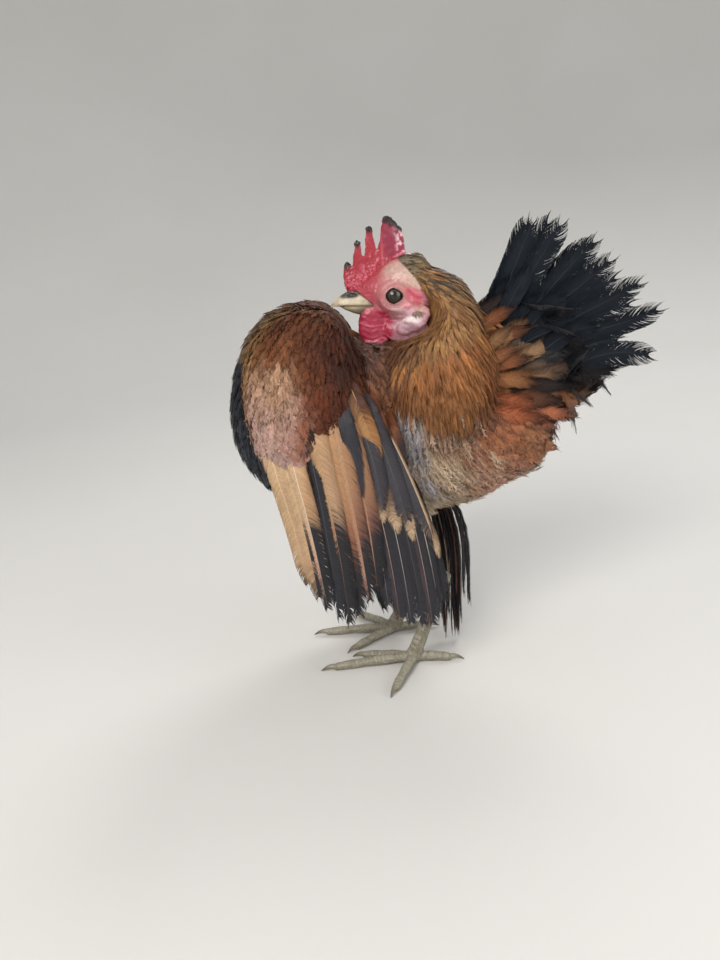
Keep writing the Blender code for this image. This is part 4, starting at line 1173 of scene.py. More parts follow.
def growFeathers(paths, ups, halves, look, tints, places, rng):
    feathers, barbs, segments = len(paths), look["barbs"], look["segments"]
    ahead = unit(np.gradient(paths, axis=1))
    across = unit(np.cross(ups, ahead))
    lengths = np.linalg.norm(np.diff(paths, axis=1), axis=2).sum(1)
    shape = (feathers, 2, barbs)
    spacing = (look["shaftEnd"] - look["quill"]) / barbs
    at = look["quill"] + spacing * (np.arange(barbs) + rng.uniform(-0.3, 0.3, shape))
    lead = (look["lead"] + look["leadMore"] * (1 - at)) * (1 + rng.uniform(-0.12, 0.12, shape))
    # Barbs hook together in groups, which part where the vane is worn
    groups = look["groups"]
    group = np.arange(barbs) * groups / barbs + rng.uniform(0, 1, (feathers, 2, 1))
    group = np.minimum(group.astype(int), groups)
    shift = rng.normal(0, 1, (feathers, 2, groups + 1))
    lifts = rng.normal(0, 1, (feathers, 2, groups + 1))
    index = np.arange(feathers)[:, None, None], np.arange(2)[None, :, None], group
    worn = smoothStep(look["wornFrom"], 1, at)
    lead = lead + shift[index] * look["split"] * worn
    lift = lifts[index] * look["groupLift"] * worn
    reach = 1 + rng.uniform(-look["ragged"], look["ragged"] * 0.5, shape)
    reach = reach * (1 - rng.uniform(0, look["fray"], shape) * smoothStep(0.7, 0.95, at))
    tipAt = np.minimum(at + lead, 1.0 + rng.uniform(-0.02, look["overhang"], shape))
    half = halves[:, :, None] * vaneWidth(np.clip(tipAt, 0, 1), look) * reach
    sign = np.array((-1.0, 1.0))[None, :, None]
    levels = np.linspace(0, 1, segments + 1)
    rnd = rng.uniform(-1, 1, shape)
    curl = rng.normal(0, 1, (*shape, 3)) * look["frizz"]
    thick = spacing * look["overlap"]
    # Worn ends of the barbs are pointed
    taper = smoothStep(0.55, 0.9, at) * min(1.0, look["fray"] * 2)
    cols = []
    for j, s in enumerate(levels):
        edges = (0,) if j == segments and not look["blunt"] else (-1, 1)
        for edge in edges:
            narrow = 0.35 if look["loose"] and j else 1.0
            spread = thick * (1 - (0.2 if look["blunt"] else 0.55) * s) * edge * 0.5 * narrow
            spread = spread * (1 - 0.85 * taper * s ** 2)
            u = at + (tipAt - at) * s ** look["bow"] + spread
            lateral = half * (1 - (1 - s) ** 1.5)
            point = alongPath(paths, u) + alongPath(across, np.minimum(u, 1)) * (sign * lateral)[..., None]
            normal = alongPath(ups, np.minimum(u, 1))
            share = lateral / np.maximum(halves[:, :, None], 0.01)
            height = (-look["cup"] * halves[:, :, None] * share ** 2 + lift * lateral
                      - edge * look["twist"] * thick * lengths[:, None, None] * (0.4 + 0.6 * s))
            point = point + normal * height[..., None] + curl * (s ** 2) * lengths[:, None, None, None]
            cols.append((point, u, sign * np.minimum(share, 1.0)))
    points = np.stack([c[0] for c in cols], 3)
    u = np.stack([c[1] for c in cols], 3)
    v = np.stack([np.broadcast_to(c[2], shape) for c in cols], 3)
    colours = tinted(u, v, np.broadcast_to(rnd[..., None], u.shape), tints, look)
    perBarb = 2 * segments + (2 if look["blunt"] else 1)
    pattern = []
    for j in range(segments if look["blunt"] else segments - 1):
        a = 2 * j
        pattern += [(a, a + 1, a + 3), (a, a + 3, a + 2)]
    if not look["blunt"]:
        pattern.append((2 * segments - 2, 2 * segments - 1, 2 * segments))
    pattern = np.array(pattern)
    base = np.arange(feathers * 2 * barbs).reshape(shape) * perBarb
    corners = base[..., None, None] + pattern
    corners[:, 1] = corners[:, 1, :, :, ::-1]
    vane = np.stack((v * halves[:, :, None, None], u * lengths[:, None, None, None]), -1)
    bake = places[:, None, None, None] + np.stack((v, u - 0.5), -1) * look["patch"]
    barbParts = points, corners, colours, vane, bake

    # Shaft: a tapered ridge
    stations = look["shaftRows"]
    u = np.broadcast_to(np.linspace(0.0, look["shaftEnd"] + 0.04, stations), (feathers, stations))
    width = look["shaft"] * (1 - 0.8 * u) * np.where(u > 0.98, 0.3, 1.0)
    line, normal, sideways = alongPath(paths, u), alongPath(ups, u), alongPath(across, u)
    rows = [line - sideways * width[..., None] / 2 - normal * 0.04,
            line + normal * width[..., None] * 0.42,
            line + sideways * width[..., None] / 2 - normal * 0.04]
    shaft = np.stack(rows, 2)
    k = np.arange(stations - 1)
    shaftCorners = []
    for left, right in ((0, 1), (1, 2)):
        a, b, c, d = 3 * k + left, 3 * k + right, 3 * k + 3 + right, 3 * k + 3 + left
        shaftCorners += [np.stack((a, b, c), 1), np.stack((a, c, d), 1)]
    shaftCorners = np.concatenate(shaftCorners)
    shaftCorners = shaftCorners + points.size // 3 + np.arange(feathers)[:, None, None] * stations * 3
    quill = tints.get("shaft", tints["base"] * 0.75)
    colour = np.broadcast_to(quill[:, None, None], shaft.shape)
    colour = colour * (1 - 0.35 * smoothStep(0.7, 1.0, u))[..., None, None]
    if "far" in tints:
        share = smoothStep(look["farAt"], look["farAt"] + 0.25, u) * 0.75
        colour = blend(colour, tints["far"][:, None, None], share[..., None])
    mapShape = (*shaft.shape[:3], 2)
    vaneShaft = np.broadcast_to(np.stack((u * 0, u * lengths[:, None]), -1)[:, :, None], mapShape)
    bakeShaft = places[:, None] + np.stack((u * 0, u - 0.5), -1) * look["patch"]
    bakeShaft = np.broadcast_to(bakeShaft[:, :, None], mapShape)
    shaftParts = shaft, shaftCorners, colour, vaneShaft, bakeShaft
    return [np.concatenate([part.reshape(-1, part.shape[-1]) for part in pair])
            for pair in zip(barbParts, shaftParts)]


def joined(batches):
    start = 0
    merged = [[], [], [], [], []]
    for batch in batches:
        for k, values in enumerate(batch):
            merged[k].append(values + start if k == 1 else values)
        start += len(batch[0])
    return [np.concatenate(values) for values in merged]


def coatObject(name, batches, material):
    points, corners, colours, vane, bake = joined(batches)
    points[:, 2] = np.maximum(points[:, 2], 0.3)
    piece = pieceObject(name, points, corners, colours, [material], {"vane": vane, "OFBake": bake})
    say(f"{name}: {len(corners)} triangles")
    return piece


# What every feather starts from; each kind changes what differs
plainFeather = {
    "barbs": 11, "segments": 2, "quill": 0.06, "shaftEnd": 0.93, "rise": 0.28, "fall": 0.5,
    "power": 2.6, "lead": 0.09, "leadMore": 0.16, "groups": 4, "split": 0.03, "wornFrom": 0.3,
    "groupLift": 0.03, "ragged": 0.1, "overhang": 0.02, "frizz": 0.008, "overlap": 1.5, "bow": 1.2,
    "loose": False, "blunt": False, "fray": 0.0, "stand": 1.0, "jitter": 0.07, "cup": 0.18, "twist": 0.05,
    "shaft": 0.22, "shaftRows": 4, "patch": 0.0015,
    "farAt": 0.7, "farSoft": 0.08, "farJag": 0.04, "edgeWidth": 0.3, "edgeShare": 0.6, "streakWidth": 0.35,
    "streakShare": 0.6, "tipAt": 0.86, "tipShare": 0.7, "rootAt": 0.25, "barbTone": 0.13,
}

coat = {
    "head": {"spacing": 1.25, "length": (3.6, 5.6), "half": 0.85, "stiff": 0.5, "piece": "head",
             "look": {"barbs": 6, "shaft": 0.1, "cup": 0.1, "streakWidth": 0.5, "tipShare": 0.5,
                      "fall": 0.35,
                      "power": 1.6, "ragged": 0.2},
             "streak": "#5E4630", "tip": "#4E3826", "edge": "#A88C68"},
    "neck": {"spacing": 1.75, "length": (8, 11.5), "half": 1.2, "stiff": 0.6, "piece": "hackle",
             "look": {"barbs": 9, "fall": 0.35, "power": 1.5, "shaft": 0.13, "lead": 0.12,
                      "streakWidth": 0.45},
             "streak": "#5E3C22", "tip": "#6A4226", "edge": "#C09460"},
    "cape": {"spacing": 2.15, "length": (14, 20), "half": 1.55, "stiff": 0.75, "piece": "hackle",
             "look": {"barbs": 12, "fall": 0.3, "power": 1.35, "shaft": 0.15, "lead": 0.12,
                      "overhang": 0.05,
                      "streakWidth": 0.5, "streakShare": 0.55, "tipAt": 0.82, "tipShare": 0.8,
                      "ragged": 0.2,
                      "split": 0.05},
             "streak": "#4F3218", "tip": "#45291A", "edge": "#C6975A"},
    "breast": {"spacing": 2.9, "length": (10, 13), "half": 2.8, "stiff": 0.4, "piece": "breast",
               "look": {"edgeShare": 0.5, "tipShare": 0.3, "blunt": True, "stand": 0.7, "ragged": 0.06},
               "streak": "#15151A", "tip": "#17171B", "edge": "#353A42"},
    "shoulder": {"spacing": 2.35, "length": (9, 14), "half": 2.0, "stiff": 0.45, "piece": "shoulder",
                 "look": {"barbs": 11, "tipShare": 0.5, "tipAt": 0.82, "streakShare": 0.35,
                          "edgeShare": 0.35,
                          "power": 1.8, "fall": 0.4, "ragged": 0.3, "split": 0.08, "frizz": 0.02,
                          "stand": 0.62, "cup": 0.1, "overhang": 0.06},
                 "streak": "#6E4026", "tip": "#34190F", "edge": "#704324"},
    "coverts": {"spacing": 2.45, "length": (10, 15), "half": 2.5, "stiff": 0.5, "piece": "coverts",
                "look": {"barbs": 12, "ragged": 0.3, "split": 0.08, "frizz": 0.022, "tipShare": 0.25,
                         "edgeShare": 0.3, "streakShare": 0.3, "power": 2.0, "stand": 0.62, "cup": 0.1},
                "streak": None, "tip": None, "edge": None},
    "back": {"spacing": 3.1, "length": (13, 19), "half": 3.2, "stiff": 0.65, "piece": "back",
             "look": {"barbs": 17, "fall": 0.45, "power": 1.8, "ragged": 0.3, "split": 0.07, "frizz": 0.02,
                      "overhang": 0.08, "tipAt": 0.78, "jitter": 0.2, "groups": 6, "groupLift": 0.08,
                      "shaft": 0.16},
             "streak": "#8A5632", "tip": "#4C2C1E", "edge": "#B8845A"},
    "belly": {"spacing": 2.45, "length": (15, 25), "half": 2.2, "stiff": 0.7, "piece": "belly",
              "look": {"barbs": 13, "fall": 0.3, "power": 1.5, "ragged": 0.35, "split": 0.1, "frizz": 0.03,
                       "loose": True, "overlap": 1.7, "overhang": 0.14, "groupLift": 0.12, "jitter": 0.13},
              "streak": "#8F8B8C", "tip": "#A88660", "edge": "#D8C6A8"},
    "tailCoverts": {"spacing": 3.7, "length": (20, 33), "half": 3.9, "stiff": 0.85, "piece": "tail_base",
                    "look": {"barbs": 34, "ragged": 0.16, "split": 0.03, "frizz": 0.004, "groups": 9,
                             "overhang": 0.05, "shaft": 0.3, "shaftRows": 6, "groupLift": 0.04,
                             "tipAt": 0.72,
                             "fall": 0.6, "power": 2.0, "stand": 0.7, "jitter": 0.1, "tipShare": 0.85,
                             "blunt": True, "fray": 0.2},
                    "streak": None, "tip": "#241E1C", "edge": None},
    "undertail": {"spacing": 2.9, "length": (11, 18), "half": 2.8, "stiff": 0.6, "piece": "tail_base",
                  "look": {"barbs": 13, "ragged": 0.3, "stand": 0.6, "split": 0.1, "frizz": 0.02,
                           "loose": True,
                           "overlap": 1.7, "overhang": 0.1, "groupLift": 0.1, "jitter": 0.14},
                  "streak": "#575244", "tip": "#5C5546", "edge": "#A0937A"},
    "thigh": {"spacing": 2.5, "length": (9, 13), "half": 2.0, "stiff": 0.5, "piece": "thighs",
              "look": {"barbs": 11, "ragged": 0.3, "split": 0.1, "frizz": 0.025, "loose": True,
                       "overlap": 1.7, "overhang": 0.1}, "streak": "#6E5F52", "tip": "#7A6A58",
              "edge": "#C4AE90"},
}
pieceMaterials = {"head": contourKeratin, "hackle": hackleKeratin, "breast": blackKeratin,
                  "shoulder": contourKeratin, "coverts": contourKeratin, "back": downKeratin,
                  "belly": downKeratin, "tail_base": quillKeratin, "thighs": downKeratin}

tailRoot = np.array((64.0, 0.0, 142.0))
# Which way the feathers lie: place on the left side, then direction
lieGuides = (
    ((20, -3, 203), (1, 0, -0.1)), ((34, -8, 198), (0.9, -0.1, -0.5)), ((42, -12, 186), (0.75, -0.1, -0.8)),
    ((40, -12, 174), (0.4, 0, -1)), ((28, -12, 165), (0.0, 0, -1)), ((14, -8, 164), (-0.1, 0, -1)),
    ((60, -8, 184), (0.6, -0.1, -0.9)), ((40, -28, 160), (0.15, 0, -1)), ((14, -26, 150), (-0.12, 0, -1)),
    ((62, -20, 160), (0.45, 0, -0.9)), ((40, -38, 132), (0.12, 0, -1)), ((66, -26, 130), (0.4, 0, -0.9)),
    ((10, -30, 125), (0.0, 0, -1)), ((70, 0, 150), (0.5, 0, -0.85)),
    ((0, -12, 178), (-0.7, -0.3, 0.2)), ((-25, -10, 190), (-1, -0.25, 0.0)),
    ((-48, -10, 170), (-0.6, 0, -0.9)),
    ((-60, 0, 135), (0.0, 0, -1)), ((-48, 0, 100), (0.6, 0, -0.8)), ((-20, 0, 80), (1, 0, -0.3)),
    ((-10, -34, 182), (-0.35, -0.6, -0.6)), ((-30, -38, 178), (-0.35, -0.2, -1)),
    ((-46, -36, 160), (-0.1, 0, -1)),
    ((-20, -46, 165), (-0.08, 0, -1)), ((2, -42, 165), (0.1, 0, -1)), ((-20, -46, 135), (0.06, 0, -1)),
    ((8, -44, 130), (0.25, 0, -1)), ((-44, -42, 125), (0.2, 0, -1)), ((-44, -20, 140), (0.0, 0.2, -1)),
    ((45, -28, 108), (0.65, 0, -0.75)), ((70, -16, 108), (0.9, 0, -0.5)), ((30, -30, 92), (0.7, 0, -0.6)),
    ((10, -25, 85), (0.5, 0, -0.8)), ((50, 0, 80), (1, 0, -0.3)), ((90, 0, 112), (1, 0, -0.2)),
    ((20, -16, 70), (0.35, 0, -1)), ((34, -14, 48), (0.1, 0, -1)), ((0, 0, 74), (1, 0, -0.3)),
)


def lieAt(points, kindIndex):
    places = np.array([g[0] for g in lieGuides], float)
    ways = unit(np.array([g[1] for g in lieGuides], float))
    places = np.concatenate((places, places * (1, -1, 1)))
    ways = np.concatenate((ways, ways * (1, -1, 1)))
    distance = np.linalg.norm(points[:, None] - places[None], axis=2)
    weight = 1 / (distance + 2) ** 4
    lie = unit((weight[..., None] * ways[None]).sum(1))
    # Round the tail they fan out from its root
    fan = np.isin(kindIndex, [kinds.index("tailCoverts"), kinds.index("undertail")])
    away = points - tailRoot + np.array((16, 0, 0))
    away[:, 1] *= 0.35
    return np.where(fan[:, None], unit(away), lie)


skinNormals = vertexNormals(skinPoints, skinCorners)
skinTree = BVHTree.FromPolygons(skinPoints.tolist(), skinCorners.tolist())
cornerNormals = unit(skinNormals[skinCorners].mean(1))


def nearestSkin(points):
    found = [skinTree.find_nearest(p) for p in points.tolist()]
    spots = np.array([f[0] for f in found])
    index = np.array([f[2] for f in found])
    return spots, cornerNormals[index]


# Feather paths: each step follows the lie, is pushed out of the skin and pulled back to it
# only as far as the feather bends
def tracePaths(roots, normals, kindIndex, lengths, depths, stiff, stand, jitter, rng, steps=6):
    count = len(roots)
    points = roots + normals * (depths * 0.12)[:, None]
    way = lieAt(roots, kindIndex)
    way = unit(way + rng.normal(0, jitter, (count, 3)))
    way = unit(way - normals * (way * normals).sum(1, keepdims=True))
    path, ups = [points], [normals]
    for i in range(1, steps):
        share = i / (steps - 1)
        step = (lengths / (steps - 1))[:, None]
        target = points + way * step
        spot, normal = nearestSkin(target)
        clear = ((target - spot) * normal).sum(1)
        wanted = depths * (0.12 + 0.95 * stand * share ** 0.8)
        off = wanted - clear
        target = target + normal * np.where(off > 0, off, off * (1 - stiff) * 0.5)[:, None]
        heading = unit(target - points)
        points = points + heading * step
        lie = lieAt(points, kindIndex)
        lie = unit(lie - normal * (lie * normal).sum(1, keepdims=True))
        bend = (0.45 * (1 - stiff) + 0.1)[:, None]
        way = unit(heading * (1 - bend) + lie * bend)
        path.append(points)
        up = unit(normal - heading * (normal * heading).sum(1, keepdims=True))
        ups.append(unit(ups[-1] * 0.5 + up * 0.5))
    return np.stack(path, 1), np.stack(ups, 1)


# Root places, scattered evenly over the skin: spacing apart for each kind
def scatterRoots(rng):
    a, b, c = (skinPoints[skinCorners[:, k]] for k in range(3))
    area = np.linalg.norm(np.cross(b - a, c - a), axis=1) / 2
    middle = (a + b + c) / 3
    faceKinds = kindsAt(middle)
    spacing = np.array([coat[kinds[k]]["spacing"] for k in faceKinds])
    allowed = ~bareVertex[skinCorners].any(1) & (faceZone != 2) & (middle[:, 2] > 44.5)
    onWing = np.isin(faceKinds, [kinds.index("shoulder"), kinds.index("coverts")])
    allowed &= ~(onWing & (aboveWingHem(middle) < 2.0) & (np.abs(middle[:, 1]) > 30))
    # Close to the face they stand thicker
    spacing = spacing * (0.62 + 0.38 * smoothStep(0, 9, behindFace(middle)))
    share = np.where(allowed, area / spacing ** 2, 0)
    tries = int(share.sum() * 4.5)
    landed = rng.choice(len(share), tries, p=share / share.sum())
    r1, r2 = np.sqrt(rng.uniform(0, 1, tries)), rng.uniform(0, 1, tries)
    spots = (a[landed] * (1 - r1)[:, None] + b[landed] * (r1 * (1 - r2))[:, None]
             + c[landed] * (r1 * r2)[:, None])
    kept, grid = [], {}
    size = 4.0
    for i, (p, gap) in enumerate(zip(spots.tolist(), (spacing[landed] * 0.78).tolist())):
        key = (int(p[0] // size), int(p[1] // size), int(p[2] // size))
        clash = False
        for dx, dy, dz in itertools.product((-1, 0, 1), repeat=3):
            for q in grid.get((key[0] + dx, key[1] + dy, key[2] + dz), ()):
                if (q[0] - p[0]) ** 2 + (q[1] - p[1]) ** 2 + (q[2] - p[2]) ** 2 < gap * gap:
                    clash = True
                    break
            if clash:
                break
        if not clash:
            grid.setdefault(key, []).append(p)
            kept.append(i)
    kept = np.array(kept)
    return spots[kept], cornerNormals[landed[kept]]


# Where a root lies on an unwrap of the skin: angle round an axis, and place along it
def unwrapped(points, kind):
    x, y, z = points.T
    if kind in ("neck", "cape", "head"):
        angle, run = np.arctan2(y, x - 36), (z - 108) / 98
    elif kind in ("shoulder", "coverts"):
        angle, run = np.arctan2(y - np.sign(y) * 26, x + 18), (z - 100) / 92
    elif kind == "thigh":
        angle, run = np.arctan2(y - np.sign(y) * 17, x - 22), (z - 36) / 72
    elif kind in ("tailCoverts", "undertail"):
        angle, run = np.arctan2(y, z - 138), (x - 45) / 75
    else:
        angle, run = np.arctan2(y, z - 125), (x + 66) / 168
    return np.stack((0.03 + 0.94 * (angle / (2 * math.pi) + 0.5), 0.03 + 0.94 * np.clip(run, 0, 1)), 1)


def whitened(colours, hexText, share):
    return colours + (linear(hexText) - colours) * share


say("placing feathers")
rng = np.random.default_rng(2024)
roots, rootNormals = scatterRoots(rng)
rootKinds = kindsAt(roots + rng.normal(0, 1.2, roots.shape))
# A root keeps its own kind where a neighbour's would jump from the body to the head
rootKinds = np.where(np.isin(kindsAt(roots), [kinds.index("head")]), kinds.index("head"), rootKinds)
say(f"{len(roots)} roots")
batches = {}
for index, kind in enumerate(kinds):
    chosen = rootKinds == index
    if not chosen.any():
        continue
    spec = coat[kind]
    look = {**plainFeather, **spec["look"]}
    spots, normals = roots[chosen], rootNormals[chosen]
    count = len(spots)
    lengths = rng.uniform(*spec["length"], count) * (1 + 0.1 * rng.normal(0, 1, count)).clip(0.75, 1.3)
    depths = coatDepth[kind] * rng.uniform(0.8, 1.25, count)
    # They start small at the edge of the face and stop at the wing's hem
    grown = smoothStep(-2, 10, behindFace(spots))
    lengths *= 0.42 + 0.58 * grown
    depths *= 0.35 + 0.65 * grown
    if kind in ("shoulder", "coverts"):
        room = np.where(np.abs(spots[:, 1]) > 30, aboveWingHem(spots), 99)
        lengths = np.minimum(lengths, np.maximum(room * 1.05 + 2.5, 4.5))
    if kind == "belly":
        lengths *= 0.7 + 0.3 * smoothStep(14, 4, capeHem(spots))
    if kind in ("belly", "back"):
        lengths *= 0.68 + 0.32 * smoothStep(88, 102, spots[:, 2])
    stiff = np.full(count, spec["stiff"])
    paths, ups = tracePaths(spots, normals, np.full(count, index), lengths, depths, stiff, look["stand"],
                            look["jitter"], rng)
    if kind == "tailCoverts":
        # None stands up over the tail's upper edge
        low = paths[:, -1, 2] < 150 + 0.42 * (paths[:, -1, 0] - 40)
        paths, ups, spots, grown = paths[low], ups[low], spots[low], grown[low]
        count = len(spots)
    halves = spec["half"] * rng.uniform(0.8, 1.2, (count, 1)) * np.ones((1, 2))
    halves *= (0.45 + 0.55 * grown)[:, None]
    seen = paths[:, 3]
    base = plumageColour(kind, seen + rng.normal(0, 1.0, seen.shape))
    base = base * (1 + 0.12 * rng.normal(0, 1, (count, 1))).clip(0.7, 1.35)
    if kind in ("head", "neck"):
        spotted = (rng.uniform(0, 1, count) < 0.3) & (spots[:, 2] > 186)
        base = np.where(spotted[:, None], linear("#4C4436"), base)
    if kind == "tailCoverts":
        base = np.where(rng.uniform(0, 1, (count, 1)) < 0.25, linear("#1F1D1E"), base)
    tints = {"base": base, "root": base * 0.55 + linear("#6E655C") * 0.25}
    for key in ("streak", "tip", "edge"):
        hexText = spec[key]
        if hexText:
            tints[key] = whitened(base, hexText, rng.uniform(0.45, 1.0, (count, 1)))
        else:
            tints[key] = base * {"streak": 1.18, "tip": 0.8, "edge": 1.12}[key]
    places = unwrapped(spots, kind)
    for sideName, sideMask in (("left", spots[:, 1] < 0), ("right", spots[:, 1] >= 0)):
        if not sideMask.any():
            continue
        part = {key: value[sideMask] for key, value in tints.items()}
        batch = growFeathers(paths[sideMask], ups[sideMask], halves[sideMask], look, part,
                             places[sideMask], rng)
        batches.setdefault((spec["piece"], sideName), []).append(batch)
# Thin bristles over the ear opening
ear = {"count": 60, "x": (30.6, 35.4), "z": (177.2, 179.8), "length": (1.6, 3.2), "half": 0.15,
       "pale": "#B4977F", "dark": "#7C6654"}
earLook = {**plainFeather, "barbs": 4, "lead": 0.25, "shaft": 0.09, "frizz": 0.03}
for sideName, side in sides:
    count = ear["count"]
    across = np.full(count, side * 16.0)
    spots = np.stack((rng.uniform(*ear["x"], count), across, rng.uniform(*ear["z"], count)), 1)
    spots, normals = nearestSkin(spots)
    lengths = rng.uniform(*ear["length"], count)
    shallow = np.full(count, 0.6)
    headKind = np.full(count, kinds.index("head"))
    paths, ups = tracePaths(spots, normals, headKind, lengths, shallow, shallow, 0.5, 0.35, rng)
    pale = np.repeat(linear(ear["pale"])[None], count, 0)
    tints = {"base": whitened(pale, ear["dark"], rng.uniform(0, 0.8, (count, 1)))}
    halves = np.full((count, 2), ear["half"])
    batch = growFeathers(paths, ups, halves, earLook, tints, unwrapped(spots, "head"), rng)
    batches["head", sideName].append(batch)
for (pieceName, sideName), group in sorted(batches.items()):
    coatObject(f"{pieceName}_feathers_{sideName}", group, pieceMaterials[pieceName])


# The outer side of big feathers: out from the bird and square to the shaft
def outerSide(paths, out):
    ahead = unit(np.gradient(paths, axis=1))
    return unit(out - ahead * (out * ahead).sum(2, keepdims=True))


# How far out the skin's side lies at (x, z); None past its outline
def skinSide(side, x, z):
    hit = skinTree.ray_cast((x, side * 70, z), (0, -side, 0))[0]
    return None if hit is None else abs(hit[1])


# Wing quills, placed from the photo. Each row: pattern, root (x, z), tip (x, z), half width of the
# front and the rear vane, and how far it lies over the wing's lowest layer.
wing = {
    "rows": (
        ("sand", -41, 134, -28.5, 57, 3.8, 6.5, 0.0),
        ("sandDarkEdge", -35.5, 134, -24.5, 49, 3.6, 6.0, 0.3),
        ("pale", -31, 132, -21, 44, 3.4, 6.0, 0.6), ("ink", -23, 146, -16, 36.5, 2.4, 6.2, 0.9),
        ("sandInk", -20, 148, -11, 33.5, 3.8, 6.2, 1.15), ("sandInkLate", -15, 148, -6, 37, 3.8, 5.8, 1.4),
        ("rufousInk", -10, 148, -0.8, 45, 3.8, 5.0, 1.7), ("rufousInk", -5, 142, 3, 54, 3.4, 5.0, 1.4),
        ("inkLine", -2, 120, 7.5, 42.5, 3.8, 5.6, 0.5), ("inkRose", 3, 120, 13, 36, 3.8, 5.6, 0.8),
        ("inkLine", 7.5, 120, 18.5, 31.5, 3.8, 5.6, 1.05), ("ink", 12, 118, 23.5, 30.5, 3.8, 5.2, 1.3),
        ("inkRose", 17, 116, 28, 30, 3.6, 4.6, 1.55), ("inkLine", 21, 112, 31.5, 37, 3.4, 2.8, 1.8),
        ("ink", 20, 112, 35.5, 43, 3.2, 3.2, 0.3),
        ("brown", 0, 118, 8.5, 87.5, 3.6, 4.0, 1.5), ("brown", 5, 118, 15.5, 80.5, 3.6, 4.2, 1.7),
        ("brown", 10, 116, 22.5, 76.5, 3.6, 4.2, 1.9), ("brown", 16, 112, 29.5, 71.5, 3.6, 4.0, 2.1),
        ("brown", 20, 106, 34, 68, 3.0, 2.6, 2.3),
        ("slate", -1, 146, 9.5, 93, 4.2, 4.6, 2.4), ("slate", 4, 148, 20, 86, 5.2, 4.8, 2.9),
        ("slateTanEdge", 8.5, 144, 31, 77.5, 5.4, 1.2, 3.3), ("black", -7, 150, -0.2, 100.5, 3.6, 3.8, 2.1),
        ("russet", 9, 148, 20, 113, 3.6, 3.4, 3.5), ("russet", 4, 153, 14, 117, 3.8, 3.6, 3.3),
        ("golden", -2.5, 156, 8.3, 112, 3.8, 3.6, 3.1)),
    # Distance from the middle plane at each height; the rear top tucks in towards the body
    "plane": ((25, 33.2), (60, 37.6), (90, 41.2), (112, 43.7), (130, 44.9), (150, 45.4)),
    "tuck": 5.5,
    "roll": 9.0, "bow": 1.6,
    # The far wing reaches further back and lower, and its rear quills hang in strands
    "farSwing": 30.0, "farDrop": 25.0, "strandTips": (31, 55), "strandHalf": (0.5, 1.3),
}
sandy, inky, slaty = "#BE9E7A", "#2B2A2E", "#403D42"
